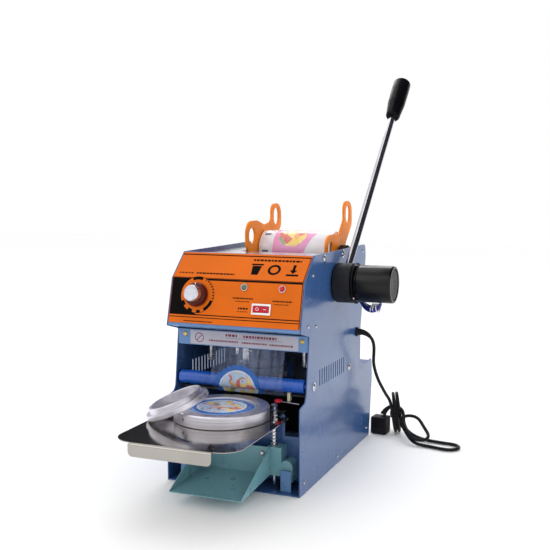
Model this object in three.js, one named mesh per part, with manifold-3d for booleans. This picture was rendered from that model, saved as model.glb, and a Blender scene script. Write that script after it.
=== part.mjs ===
// Manual cup sealing machine: a lever presses a heated die onto film over a cup held in a sliding tray.
// Millimetres, +Z up, +Y towards the back, +X to the operator's right. Origin: centre of the base underside.
import * as THREE from 'three';
import { mergeVertices } from 'three/addons/utils/BufferGeometryUtils.js';
import Module from 'manifold-3d';

const wasm = await Module();
wasm.setup();

// Driving dimensions. Depths are measured back from the front edge of the side plates.
const HALF_WIDTH = 125;
const PLATE = 2;
const INNER = HALF_WIDTH - PLATE - 0.4;
const BASE_DEPTH = 410;
const GAP = 0.3;
const SHEET = 1.5;

const HEAD_FRONT = { y: 2, z: 276 };
const PANEL_BEND = { y: 23.5, z: 358 };
const PANEL_TOP = { y: 70, z: 401 };
const FASCIA = { y: 42, bottom: 238, top: 266 };
const TOP_PLATE_Z = 391.5;

const LEVER = { y: 186, z: 343, angle: THREE.MathUtils.degToRad(46), x: 139, reach: 567 };
const HUB = { x0: 126.5, x1: 160, radius: 36 };
const MOTOR = { flange: 162.6, x0: 165.6, x1: 234, radius: 33.5 };
const CRANK_RADIUS = 23;
const CRANK_REST = THREE.MathUtils.degToRad(37.5);

const FILM = { x0: -55, x1: 80, thickness: 0.5 };
const ROLL = { y: 300, z: 388, radius: 41 };
const TAKE_UP = { y: 245, z: 290, radius: 22 };
const FRICTION = { radius: 39.3, x0: -112, x1: -102 };
const GUIDE_ROLLER = { y: 44, z: 179, radius: 12 };
const TOP_BAR = { y: 90, z: 380, radius: 6 };
const DIE_BARS = { front: 52, rear: 172, z: 160.6, radius: 3 };

const TRAY = { z: 134, front: -217, rear: 45, halfWidth: 106, corner: 36, lip: 21 };
const MOULD = { y: -38, radius: 80, height: 21, bore: 47, recess: 58, ledge: 2.4 };
const DISC_RADIUS = 55;
const POST = { x: 67.5, y: 29, radius: 4 };
const BLOCK = { y0: 17, y1: 43, z0: 27, z1: 76 };
const SLIDE_ROD = { x: 95, z: 30, radius: 5 };
const CARRIAGE = { y: 112, rodX: 92, rodRadius: 6, dieBottom: 186 };
const ADAPTER = { x: -62, y: -74, lean: 22.5, heading: -156.5, flange: 54.6, collar: 46.4, bore: 42 };
const CORD = 6.5;

const AXIS_X = new THREE.Vector3(1, 0, 0);
const AXIS_Y = new THREE.Vector3(0, 1, 0);
const AXIS_Z = new THREE.Vector3(0, 0, 1);

const machine = new THREE.Group();
machine.position.set(0, -BASE_DEPTH / 2, 0);

const FINISH = {
  blue: { color: 0x4a70a8, roughness: 0.35, metalness: 0.1 },
  navy: { color: 0x1f3566, roughness: 0.45, metalness: 0.1 },
  teal: { color: 0x3c6e74, roughness: 0.45, metalness: 0.1 },
  orange: { color: 0xe47d23, roughness: 0.5, metalness: 0 },
  black: { color: 0x16161a, roughness: 0.4, metalness: 0 },
  steel: { color: 0xb9bcc2, roughness: 0.25, metalness: 1 },
  mirror: { color: 0xd4d6da, roughness: 0.08, metalness: 1 },
  aluminium: { color: 0xa9a7b0, roughness: 0.35, metalness: 1 },
  film: { color: 0xe7a6c4, roughness: 0.3, metalness: 0 },
  clear: { color: 0xc9d4e4, roughness: 0.2, metalness: 0 },
  blueRubber: { color: 0x2f63c4, roughness: 0.4, metalness: 0 },
  maroon: { color: 0x5d1a1c, roughness: 0.3, metalness: 0 },
  red: { color: 0xc0202a, roughness: 0.35, metalness: 0 },
  white: { color: 0xf0eeea, roughness: 0.5, metalness: 0 },
  green: { color: 0x5f7f70, roughness: 0.3, metalness: 0 },
};

function add(name, geometry, finish) {
  const mesh = new THREE.Mesh(geometry, new THREE.MeshStandardMaterial(FINISH[finish]));
  mesh.name = name;
  machine.add(mesh);
  return mesh;
}

// Outline through [u, v] or [u, v, corner radius] points, with each rounded corner as an arc.
function outline(points, target = new THREE.Shape()) {
  points.forEach(([u, v, radius = 0], i) => {
    const corner = new THREE.Vector2(u, v);
    const before = points[(i + points.length - 1) % points.length];
    const after = points[(i + 1) % points.length];
    const toBefore = new THREE.Vector2(before[0] - u, before[1] - v).normalize();
    const toAfter = new THREE.Vector2(after[0] - u, after[1] - v).normalize();
    const half = Math.acos(THREE.MathUtils.clamp(toBefore.dot(toAfter), -1, 1)) / 2;
    const cut = radius / Math.tan(half);
    const start = corner.clone().addScaledVector(toBefore, cut);
    const end = corner.clone().addScaledVector(toAfter, cut);
    if (i === 0) target.moveTo(start.x, start.y);
    else target.lineTo(start.x, start.y);
    if (radius > 0) {
      const middle = toBefore.clone().add(toAfter).normalize();
      const centre = corner.clone().addScaledVector(middle, radius / Math.sin(half));
      const from = Math.atan2(start.y - centre.y, start.x - centre.x);
      const to = Math.atan2(end.y - centre.y, end.x - centre.x);
      const turn = Math.atan2(Math.sin(to - from), Math.cos(to - from));
      const steps = Math.max(2, Math.ceil(Math.abs(turn) / (radius < 3 ? 0.9 : 0.45)));
      for (let k = 1; k <= steps; k += 1) {
        const angle = from + (turn * k) / steps;
        target.lineTo(centre.x + radius * Math.cos(angle), centre.y + radius * Math.sin(angle));
      }
    }
  });
  target.closePath();
  return target;
}

function rectangle(u0, u1, v0, v1, radius = 0) {
  return [[u0, v0, radius], [u1, v0, radius], [u1, v1, radius], [u0, v1, radius]];
}

function circle(u, v, radius, steps = 24) {
  return Array.from({ length: steps }, (_, k) => {
    const angle = (2 * Math.PI * k) / steps;
    return [u + radius * Math.cos(angle), v + radius * Math.sin(angle)];
  });
}

function slot(u, v, halfLength, halfWidth) {
  return rectangle(u - halfWidth, u + halfWidth, v - halfLength, v + halfLength, halfWidth * 0.98);
}

function extrude(points, holes, depth) {
  const shape = outline(points);
  shape.holes = holes.map((hole) => outline(hole, new THREE.Path()));
  return new THREE.ExtrudeGeometry(shape, { depth, bevelEnabled: false, curveSegments: 1 });
}

// Sheets and bars drawn in one plane and given a thickness along the third axis.
function plateX(points, x0, x1, holes = []) {
  const turn = new THREE.Matrix4().makeBasis(AXIS_Y, AXIS_Z, AXIS_X);
  return extrude(points, holes, x1 - x0).applyMatrix4(turn).translate(x0, 0, 0);
}

function plateY(points, y0, y1, holes = []) {
  const turn = new THREE.Matrix4().makeBasis(AXIS_X, AXIS_Z, AXIS_Y.clone().negate());
  return extrude(points, holes, y1 - y0).applyMatrix4(turn).translate(0, y1, 0);
}

function plateZ(points, z0, z1, holes = []) {
  return extrude(points, holes, z1 - z0).translate(0, 0, z0);
}

function box(x0, x1, y0, y1, z0, z1) {
  const geometry = new THREE.BoxGeometry(x1 - x0, y1 - y0, z1 - z0);
  return geometry.translate((x0 + x1) / 2, (y0 + y1) / 2, (z0 + z1) / 2);
}

// Turned parts: the profile is [radius, distance along the axis], with the axis through (y, z) or (x, y).
function turned(profile, steps = 24) {
  const points = profile.map(([radius, along]) => new THREE.Vector2(radius, along));
  return new THREE.LatheGeometry(points, steps).rotateX(Math.PI / 2);
}

function turnedX(profile, y, z, steps = 24) {
  return turned(profile, steps).rotateY(Math.PI / 2).translate(0, y, z);
}

function turnedZ(profile, x, y, steps = 24) {
  return turned(profile, steps).translate(x, y, 0);
}

function rod(radius, from, to) {
  return [[0, from], [radius, from], [radius, to], [0, to]];
}

function tube(inner, outer, from, to) {
  return [[inner, from], [outer, from], [outer, to], [inner, to], [inner, from]];
}

function rodY(radius, x, z, y0, y1, steps = 20) {
  return turned(rod(radius, y0, y1), steps).rotateX(-Math.PI / 2).translate(x, 0, z);
}

function rope(points, radius, steps, sides = 8) {
  const path = new THREE.CatmullRomCurve3(points.map((p) => new THREE.Vector3(...p)), false, 'centripetal');
  const section = new THREE.Shape(circle(0, 0, radius, sides).map(([u, v]) => new THREE.Vector2(u, v)));
  return new THREE.ExtrudeGeometry(section, { steps, bevelEnabled: false, extrudePath: path });
}

// Booleans.
function solid(geometry) {
  const bare = geometry.clone();
  bare.deleteAttribute('normal');
  bare.deleteAttribute('uv');
  const merged = mergeVertices(bare, 1e-4);
  return new wasm.Manifold(new wasm.Mesh({
    numProp: 3,
    vertProperties: new Float32Array(merged.attributes.position.array),
    triVerts: new Uint32Array(merged.index.array),
  }));
}

function geometryOf(manifold) {
  const mesh = manifold.getMesh();
  const geometry = new THREE.BufferGeometry();
  geometry.setAttribute('position', new THREE.BufferAttribute(new Float32Array(mesh.vertProperties), 3));
  geometry.setIndex(new THREE.BufferAttribute(new Uint32Array(mesh.triVerts), 1));
  geometry.computeVertexNormals();
  return geometry;
}

function join(...geometries) {
  return geometryOf(geometries.map(solid).reduce((whole, piece) => whole.add(piece)));
}

function cut(geometry, ...tools) {
  return geometryOf(tools.map(solid).reduce((whole, tool) => whole.subtract(tool), solid(geometry)));
}

// A bent sheet: its outer face follows the [y, z] points and its thickness lies on their right-hand side.
function bentSheet(points, thickness) {
  const inner = points.map(([y, z], i) => {
    const before = points[Math.max(i - 1, 0)];
    const after = points[Math.min(i + 1, points.length - 1)];
    const inDirection = new THREE.Vector2(y - before[0], z - before[1]).normalize();
    const outDirection = new THREE.Vector2(after[0] - y, after[1] - z).normalize();
    if (i === 0) inDirection.copy(outDirection);
    if (i === points.length - 1) outDirection.copy(inDirection);
    const along = inDirection.clone().add(outDirection).normalize();
    const offset = thickness / Math.max(along.dot(inDirection), 0.3);
    return [y + along.y * offset, z - along.x * offset];
  });
  return [...points, ...inner.reverse()];
}

// Body: base, side plates, panels.
function sidePlateOutline() {
  return [
    [0, 0], [0, 151, 7], [25, 156, 8], [31, 165, 6], [44, 265, 3], [HEAD_FRONT.y, HEAD_FRONT.z, 3],
    [PANEL_BEND.y, PANEL_BEND.z], [PANEL_TOP.y, PANEL_TOP.z], [371, 401, 11], [374, 375, 20], [343, 235, 60],
    [343, 154.5, 30], [392, 155, 30], [425, 162, 10], [430, 120, 40], [BASE_DEPTH, 0],
  ];
}

function louvres() {
  const count = 12;
  const pitch = 12.4;
  return Array.from({ length: count }, (_, k) => slot(98 + k * pitch, 184.5 - k * 0.25, 15, 2));
}

function addBody() {
  const hubHole = circle(LEVER.y, LEVER.z, 14);
  const cordHole = circle(315, 232, 7, 16);
  add('base_plate', box(-INNER, INNER, 0.5, BASE_DEPTH - 2, 0, PLATE), 'blue');
  add('side_plate_left', plateX(sidePlateOutline(), -HALF_WIDTH, PLATE - HALF_WIDTH, louvres()), 'blue');
  add('side_plate_right', plateX(sidePlateOutline(), HALF_WIDTH - PLATE, HALF_WIDTH,
    [...louvres(), hubHole, cordHole]), 'blue');
  add('top_plate', plateZ(rectangle(-INNER, INNER, 78, 366), TOP_PLATE_Z, TOP_PLATE_Z + SHEET,
    [rectangle(-74, 118, 202, 350)]), 'steel');
  const upperPanel = [[367, 389], [345, 236], [345, 186]];
  const lowerPanel = [
    [345, 184.4], [347.5, 172], [354, 162], [364, 155.6], [375, 153.2], [393, 153.6], [413, 157.6],
    [420, 155],
    [424, 143], [426.5, 122], [BASE_DEPTH - 1, 3],
  ];
  add('rear_panel_upper', plateX(bentSheet(upperPanel, SHEET), -INNER, INNER), 'blue');
  add('rear_panel_lower', plateX(bentSheet(lowerPanel, SHEET), -INNER, INNER), 'blue');
  add('electrics_box', box(-110, 110, 240, 335, PLATE + GAP, 190), 'black');
}

// Front panel with its printed overlay, and the fixed fascia strip under it.
const PANEL_POINTS = [
  [FASCIA.y, FASCIA.top + 1.6], [HEAD_FRONT.y + 1.2, HEAD_FRONT.z + 1], [PANEL_BEND.y + 1, PANEL_BEND.z],
  [PANEL_TOP.y, PANEL_TOP.z - 0.8], [77, PANEL_TOP.z - 0.8],
];
const OVERLAY_POINTS = [[4.2, 282], [24.1, 358.5], [68.6, 399.4]];
const LOWER_FACE = new THREE.Vector2(PANEL_BEND.y - HEAD_FRONT.y, PANEL_BEND.z - HEAD_FRONT.z).normalize();
const CONTROLS = {
  knob: { x: -71, z: 330.5, hole: 5 },
  heatLamp: { x: 16, z: 347, hole: 3.2 },
  powerLamp: { x: 85.5, z: 347, hole: 3.2 },
  rocker: { x: 51, z: 312, hole: 0 },
};
const ROCKER_TILT = THREE.MathUtils.degToRad(7);

function panelY(z) {
  return HEAD_FRONT.y + ((z - HEAD_FRONT.z) * LOWER_FACE.x) / LOWER_FACE.y;
}

// A geometry drawn along +Z, seated on the lower panel face with its axis along the face's outward normal.
function onPanel(geometry, control) {
  const outward = new THREE.Vector3(0, -LOWER_FACE.y, LOWER_FACE.x);
  const up = new THREE.Vector3(0, LOWER_FACE.x, LOWER_FACE.y);
  const seat = new THREE.Matrix4().makeBasis(AXIS_X, up, outward);
  seat.setPosition(new THREE.Vector3(control.x, panelY(control.z), control.z));
  return geometry.applyMatrix4(seat);
}

function addFrontPanel() {
  const drills = Object.values(CONTROLS).filter((c) => c.hole > 0)
    .map((c) => onPanel(turned(rod(c.hole + GAP, -12, 12), 20), c));
  const rockerCut = () => onPanel(box(-16, 16, -7.2, 7.2, -14, 12), CONTROLS.rocker);
  const sheet = plateX(bentSheet(PANEL_POINTS, SHEET), -INNER, INNER);
  add('front_panel', cut(sheet, ...drills, rockerCut()), 'blue');
  const skin = plateX(bentSheet(OVERLAY_POINTS.map(([y, z]) => [y - 1.1, z + 0.7]), 0.6), -122, 122);
  add('control_overlay', cut(skin, ...drills, rockerCut()), 'orange');
  add('fascia_strip', plateY(rectangle(-INNER, INNER, FASCIA.bottom, FASCIA.top - GAP, 1),
    FASCIA.y, FASCIA.y + SHEET), 'blue');
}

function addControls() {
  const knobProfile = [
    [0, -10], [3.6, -10], [3.6, 1.6], [21, 1.6], [20, 12], [15.5, 13], [14, 25], [12.5, 27], [0, 27],
  ];
  add('thermostat_knob', onPanel(turned(knobProfile, 24), CONTROLS.knob), 'maroon');
  const lampProfile = [[0, -8], [2.9, -8], [2.9, 1.2], [6, 1.2], [5.4, 3], [4, 3.2], [3.4, 6], [0, 7.2]];
  add('heat_lamp', onPanel(turned(lampProfile, 20), CONTROLS.heatLamp), 'green');
  add('power_lamp', onPanel(turned(lampProfile, 20), CONTROLS.powerLamp), 'red');
  const bezel = cut(
    join(box(-17.2, 17.2, -9.4, 9.4, 1.2, 3.2), box(-15.6, 15.6, -6.8, 6.8, -10, 1.4)),
    box(-14.8, 14.8, -5.8, 5.8, -8, 5),
  );
  add('switch_bezel', onPanel(bezel, CONTROLS.rocker), 'white');
  const paddle = plateY([[-14, 2.2], [0, -4], [14, 2.2], [14, 4.4], [0, 3], [-14, 4.4]], -5.3, 5.3);
  add('rocker_switch', onPanel(paddle.rotateY(ROCKER_TILT), CONTROLS.rocker), 'red');
}

// Film: roll on its spindle between two hooked brackets, the web through the machine, and the take-up.
function filmBracket(x, front, rear, saddle) {
  const points = [
    [ROLL.y - 48, 352, 8], [rear.y - 18, 352, 8], [rear.y - 14, 402, 24], [rear.y + 27, rear.z - 22, 18],
    [rear.y + 27, rear.z + 26, 25], [rear.y - 27, rear.z + 26, 25], [rear.y - 25, rear.z - 10, 14],
    [saddle.y, saddle.z, 16], [front.y + 26, front.z + 27, 22], [front.y - 28, front.z + 27, 25],
    [front.y - 28, front.z - 22, 20],
  ];
  return plateX(points, x, x + 4, [
    slot(rear.y, rear.z, 17, 13), slot(front.y - 1, front.z - 2, 15, 14), circle(ROLL.y, ROLL.z, 6.4, 20),
  ]);
}

function webPath() {
  const roller = GUIDE_ROLLER;
  const under = (radius) => DIE_BARS.z - radius;
  const arc = (y, z, radius, from, to, steps) => Array.from({ length: steps + 1 }, (_, k) => {
    const angle = THREE.MathUtils.degToRad(from + ((to - from) * k) / steps);
    return [y + radius * Math.cos(angle), z + radius * Math.sin(angle)];
  });
  const clear = FILM.thickness + GAP;
  const low = DIE_BARS.radius + clear;
  return [
    [ROLL.y - 6, ROLL.z - ROLL.radius - 0.7],
    ...arc(TOP_BAR.y, TOP_BAR.z, TOP_BAR.radius + clear, 80, 190, 4),
    ...arc(roller.y, roller.z, roller.radius + clear, 170, 276, 5),
    ...arc(DIE_BARS.front, DIE_BARS.z, low, 196, 268, 3),
    [DIE_BARS.rear, under(low)],
    ...arc(DIE_BARS.rear, DIE_BARS.z, low, 300, 338, 2),
    [TAKE_UP.y - TAKE_UP.radius - 1, TAKE_UP.z - 4],
  ];
}

function addFilm() {
  add('film_roll', turnedX(tube(7, ROLL.radius, -60, 86), ROLL.y, ROLL.z, 30), 'film');
  const spindle = [[0, -74], [6, -74], [6, 94], [13, 94.2], [15, 97], [15, 110], [12, 113], [0, 113]];
  add('roll_spindle', turnedX(spindle, ROLL.y, ROLL.z, 24), 'black');
  const leftBracket = filmBracket(-66, { y: 234, z: 423 }, { y: 358, z: 455 }, { y: 296, z: 440 });
  add('roll_bracket_left', leftBracket, 'orange');
  const rightBracket = filmBracket(88, { y: 252, z: 398 }, { y: 358, z: 461 }, { y: 305, z: 424 });
  add('roll_bracket_right', rightBracket, 'orange');
  add('film_top_bar', turnedX(rod(TOP_BAR.radius, -INNER, INNER), TOP_BAR.y, TOP_BAR.z, 16), 'steel');
  const sideArms = [-118, 116].map((x) => box(x, x + 2, DIE_BARS.front - 3, DIE_BARS.rear + 3,
    DIE_BARS.z - 2, DIE_BARS.z + 6));
  const bars = [DIE_BARS.front, DIE_BARS.rear].map((y) => (
    turnedX(rod(DIE_BARS.radius, -117, 117), y, DIE_BARS.z, 12)
  ));
  add('film_die_bars', join(...sideArms, ...bars), 'steel');
  add('film_web', plateX(bentSheet(webPath(), FILM.thickness), FILM.x0, FILM.x1), 'clear');
  const rollerEnd = INNER - 0.5;
  const guide = [
    [0, -rollerEnd], [4, -rollerEnd], [4, -118], [GUIDE_ROLLER.radius, -118],
    [GUIDE_ROLLER.radius, 118], [4, 118], [4, rollerEnd], [0, rollerEnd],
  ];
  add('guide_roller', turnedX(guide, GUIDE_ROLLER.y, GUIDE_ROLLER.z, 20), 'blueRubber');
  const takeUp = [
    [0, -INNER], [5, -INNER], [5, FRICTION.x0], [FRICTION.radius, FRICTION.x0],
    [FRICTION.radius, FRICTION.x1], [12, FRICTION.x1], [12, FILM.x0 - 4], [TAKE_UP.radius, FILM.x0 - 4],
    [TAKE_UP.radius, FILM.x1 + 4], [12, FILM.x1 + 4], [12, 100], [5, 100], [5, INNER], [0, INNER],
  ];
  add('take_up_roller', turnedX(takeUp, TAKE_UP.y, TAKE_UP.z, 20), 'film');
}

// Lever, its hollow crankshaft and, through it, the fixed spindle that carries the film motor.
function alongLever(geometry) {
  return geometry.rotateX(-LEVER.angle).translate(LEVER.x, LEVER.y, LEVER.z);
}

function addLever() {
  const socket = alongLever(turned(rod(7.2, 20, 60), 16));
  const bore = 8.5;
  const hubProfile = [
    [bore, HUB.x0], [HUB.radius - 3, HUB.x0], [HUB.radius, HUB.x0 + 3], [HUB.radius, HUB.x1 - 2],
    [HUB.radius - 2, HUB.x1], [bore, HUB.x1], [bore, HUB.x0],
  ];
  add('lever_hub', cut(turnedX(hubProfile, LEVER.y, LEVER.z, 36), socket), 'black');
  add('lever_rod', alongLever(turned([[0, 20.5], [6.8, 20.5], [6.8, 457], [0, 457]], 20)), 'steel');
  const { reach } = LEVER;
  const grip = [
    [0, 457.4], [12.5, 457.4], [14.8, 461], [18.4, 505], [18.6, reach - 1.5], [17.4, reach], [0, reach],
  ];
  add('lever_grip', alongLever(turned(grip, 20)), 'black');
  const pin = {
    y: LEVER.y - CRANK_RADIUS * Math.cos(CRANK_REST),
    z: LEVER.z + CRANK_RADIUS * Math.sin(CRANK_REST),
  };
  const shaft = turnedX(tube(bore, 12, 9, HUB.x0 - GAP), LEVER.y, LEVER.z, 20);
  const armOuter = new THREE.Shape();
  const side = Math.atan2(pin.z - LEVER.z, pin.y - LEVER.y);
  armOuter.absarc(LEVER.y, LEVER.z, 12, side + Math.PI / 2, side + (3 * Math.PI) / 2, false);
  armOuter.absarc(pin.y, pin.z, 6, side - Math.PI / 2, side + Math.PI / 2, false);
  const arm = cut(
    plateX(armOuter.getPoints(8).map((p) => [p.x, p.y]).slice(0, -1), 9, 19),
    turnedX(rod(bore, 0, 30), LEVER.y, LEVER.z, 20),
  );
  add('lever_crankshaft', join(shaft, arm, turnedX(rod(4, -7, 12), pin.y, pin.z, 20)), 'steel');
}

function addMotor() {
  const spindle = turnedX(tube(5, 8, -98, MOTOR.flange + 1), LEVER.y, LEVER.z, 20);
  const flange = turnedX(tube(5, 37, MOTOR.flange, MOTOR.flange + 2.6), LEVER.y, LEVER.z, 30);
  const hanger = cut(box(-98, -94, LEVER.y - 12, LEVER.y + 12, LEVER.z - 12, TOP_PLATE_Z - GAP),
    turnedX(rod(5, -110, -80), LEVER.y, LEVER.z, 20));
  add('motor_spindle', join(spindle, flange, hanger), 'black');
  const shellProfile = [
    [5, MOTOR.x0], [31, MOTOR.x0], [31, MOTOR.x0 + 4], [MOTOR.radius, MOTOR.x0 + 6],
    [MOTOR.radius, MOTOR.x1 - 3], [MOTOR.radius - 2, MOTOR.x1], [24, MOTOR.x1], [23, MOTOR.x1 - 2.5],
    [5, MOTOR.x1 - 2.5], [5, MOTOR.x0],
  ];
  add('film_motor', turnedX(shellProfile, LEVER.y, LEVER.z, 30), 'black');
  const rollerCentres = Math.hypot(TAKE_UP.y - LEVER.y, TAKE_UP.z - LEVER.z);
  const wheel = rollerCentres - FRICTION.radius - GAP;
  const driveShaft = [
    [0, -INNER + 2], [4.4, -INNER + 2], [4.4, FRICTION.x0], [wheel, FRICTION.x0], [wheel, FRICTION.x1],
    [4.4, FRICTION.x1], [4.4, MOTOR.x1 - 4], [0, MOTOR.x1 - 4],
  ];
  add('film_drive_shaft', turnedX(driveShaft, LEVER.y, LEVER.z, 24), 'steel');
  const leads = [
    [125.6, 240, 322], [136, 240, 321], [148, 236, 315], [160, 226, 306], [172, 212, 299], [184, 200, 296.5],
    [196, 190, 297.5], [205, 187, 301], [209, 186, 303.5],
  ];
  add('motor_leads', rope(leads, 5, 16), 'navy');
}

// Heater carriage and its fixed guides.
function addCarriage() {
  const { y, rodX, rodRadius } = CARRIAGE;
  const bridge = box(-INNER, INNER, y - 15, y + 15, 300, 314);
  const rods = [-rodX, rodX].map((x) => turnedZ(rod(rodRadius, 198, 304), x, y, 24));
  add('carriage_guides', join(bridge, ...rods), 'steel');
  const bottom = CARRIAGE.dieBottom;
  const die = [
    [0, bottom + 3], [50, bottom + 3], [50, bottom], [54, bottom], [54, bottom + 12], [0, bottom + 12],
  ];
  add('sealing_die', turnedZ(die, 0, y, 36), 'aluminium');
  add('heater_block', turnedZ(rod(50, bottom + 12.3, bottom + 56), 0, y, 30), 'aluminium');
  const pinZ = LEVER.z + CRANK_RADIUS * Math.sin(CRANK_REST);
  const bar = box(-104, 104, y - 15, y + 15, bottom + 56.3, bottom + 74);
  const bores = [-rodX, rodX].map((x) => turnedZ(rod(rodRadius + GAP, bottom + 40, bottom + 90), x, y, 24));
  const yokeRear = LEVER.y - 9;
  const yokeOutline = [
    [y, bottom + 56.3], [yokeRear, bottom + 62, 8], [yokeRear, pinZ + 11, 5], [153, pinZ + 11, 5],
    [150, bottom + 90, 20], [y + 8, bottom + 74, 10], [y, bottom + 74],
  ];
  const pinSlot = rectangle(158, yokeRear - 4.2, pinZ - 5.3, pinZ + 5.3, 2);
  const yoke = plateX(yokeOutline, -6, 6, [pinSlot]);
  add('carriage_crosshead', cut(join(bar, yoke), ...bores), 'steel');
}

// Drawer: pan, blocks and back plate on two slide rods; the tray floats over it on sprung posts.
function addSlides() {
  for (const [side, sign] of [['left', -1], ['right', 1]]) {
    const x = sign * SLIDE_ROD.x;
    add(`slide_rod_${side}`, rodY(SLIDE_ROD.radius, x, SLIDE_ROD.z, 13.3, 215), 'steel');
    add(`slide_stand_${side}`, join(
      box(x - 9.5, x + 9.5, 11, 13, PLATE + GAP, 39),
      box(x - 9.5, x + 9.5, 11, 15.5, PLATE + GAP, PLATE + 2.5),
    ), 'blue');
  }
  add('slide_rear_bar', box(-112, 112, 215.3, 226, PLATE + GAP, 44), 'blue');
}

function addDrawer() {
  const panHalf = 65;
  const front = { y: -104, z: 19 };
  const back = { y: 16, z: 27.5, top: 76 };
  const floorEdge = [
    [front.y, front.z], [back.y, back.z], [back.y, back.z + SHEET], [front.y, front.z + SHEET],
  ];
  const floor = plateX(floorEdge, -panHalf, panHalf);
  const rearWall = box(-panHalf, panHalf, back.y - SHEET, back.y, back.z, back.top);
  const wall = [[front.y, front.z], [back.y, back.z], [back.y, back.top, 1], [back.y - 3, back.top],
    [front.y, front.z + 3]];
  const walls = [-panHalf, panHalf - SHEET].map((x) => plateX(wall, x, x + SHEET));
  add('drawer_pan', join(floor, rearWall, ...walls), 'teal');
  for (const [side, sign] of [['left', -1], ['right', 1]]) {
    const [inner, outer] = [58, 84.5];
    const body = box(inner, outer, BLOCK.y0, BLOCK.y1, BLOCK.z0, BLOCK.z1);
    const shoeOuter = SLIDE_ROD.x + 10;
    const shoe = plateY([[outer - 1, 18], [shoeOuter, 18, 2], [shoeOuter, 55, 11], [outer - 1, 55, 9]],
      BLOCK.y0, BLOCK.y1);
    const postBore = turnedZ(rod(POST.radius + GAP, 0, 100), POST.x, POST.y, 20);
    const rodBore = rodY(SLIDE_ROD.radius + GAP, SLIDE_ROD.x, SLIDE_ROD.z, 0, 80);
    const block = cut(join(body, shoe), postBore, rodBore);
    add(`drawer_block_${side}`, sign > 0 ? block : mirrored(block), 'teal');
  }
  const bores = [-SLIDE_ROD.x, SLIDE_ROD.x].map((x) => circle(x, SLIDE_ROD.z, SLIDE_ROD.radius + 0.4, 20));
  const backPlate = [
    [-118, 12, 2], [118, 12, 2], [118, 90, 2], [81, 90],
    [81, 128, 3], [-81, 128, 3], [-81, 90], [-118, 90, 2],
  ];
  add('drawer_back_plate', plateY(backPlate, 43.4, 45.4, bores), 'blue');
}

function mirrored(geometry) {
  const flipped = solid(geometry).mirror([1, 0, 0]);
  return geometryOf(flipped);
}

function addTray() {
  const { z, front, rear, halfWidth, corner } = TRAY;
  const neck = 84;
  const edge = [
    [-halfWidth, front, corner], [halfWidth, front, corner], [halfWidth, 3, 3], [neck, 3, 2],
    [neck, rear, 3], [-neck, rear, 3], [-neck, 3, 2], [-halfWidth, 3, 3],
  ];
  const sheet = plateZ(edge, z - SHEET, z, [
    circle(0, MOULD.y, MOULD.bore + 1, 30),
    circle(POST.x, POST.y, POST.radius + GAP, 16),
    circle(-POST.x, POST.y, POST.radius + GAP, 16),
  ]);
  const lipHalf = 70;
  const lipFront = front - 5;
  const lipEdge = [
    [-lipHalf, z - TRAY.lip, 8], [lipHalf, z - TRAY.lip, 8], [lipHalf, z - 3.5], [-lipHalf, z - 3.5],
  ];
  const lip = plateY(lipEdge, lipFront, lipFront + SHEET);
  const bend = plateX([
    [front + 2, z], [lipFront, z, 4.2], [lipFront, z - 5], [lipFront + SHEET, z - 5],
    [lipFront + SHEET, z - SHEET, 2.7], [front + 2, z - SHEET],
  ], -lipHalf, lipHalf);
  add('tray', join(sheet, lip, bend), 'mirror');
  const base = z + GAP;
  const { radius, height, bore, recess, ledge } = MOULD;
  const top = base + height;
  const ring = [
    [bore, base], [radius - 1, base], [radius, base + 1], [radius, top - 1.5], [radius - 1.5, top],
    [recess + 5, top], [recess + 3, top - 0.8], [recess, top - 0.8], [recess, top - ledge],
    [bore, top - ledge], [bore, base],
  ];
  add('mould_ring', turnedZ(ring, 0, MOULD.y, 44), 'aluminium');
  add('film_disc', turnedZ(rod(DISC_RADIUS, top - ledge + GAP, top - ledge + 0.9), 0, MOULD.y, 32), 'film');
  for (const [side, sign] of [['left', -1], ['right', 1]]) {
    const r = POST.radius;
    const post = [
      [0, 8], [r, 8], [r, z + GAP], [6.5, z + GAP], [6.5, z + 6], [5, z + 6], [5, z + 10], [6.5, z + 10],
      [6.5, z + 15], [0, z + 16],
    ];
    add(`tray_post_${side}`, turnedZ(post, sign * POST.x, POST.y, 18), 'steel');
    const spring = tube(r + 0.6, r + 3.4, BLOCK.z1 + GAP, z - SHEET - GAP);
    add(`tray_spring_${side}`, turnedZ(spring, sign * POST.x, POST.y, 18), 'steel');
  }
}

function addAdapter() {
  const lean = THREE.MathUtils.degToRad(ADAPTER.lean);
  const heading = THREE.MathUtils.degToRad(ADAPTER.heading);
  const { flange, collar, bore } = ADAPTER;
  const profile = [[bore, 0], [flange, 0], [flange, 9], [collar, 9], [collar, 18], [bore, 18], [bore, 0]];
  const ring = turned(profile, 36);
  const axis = new THREE.Vector3(Math.cos(heading + Math.PI / 2), Math.sin(heading + Math.PI / 2), 0);
  ring.applyMatrix4(new THREE.Matrix4().makeRotationAxis(axis, lean));
  const height = TRAY.z + GAP + flange * Math.sin(lean);
  add('adapter_ring', ring.translate(ADAPTER.x, ADAPTER.y, height), 'aluminium');
}

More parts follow.
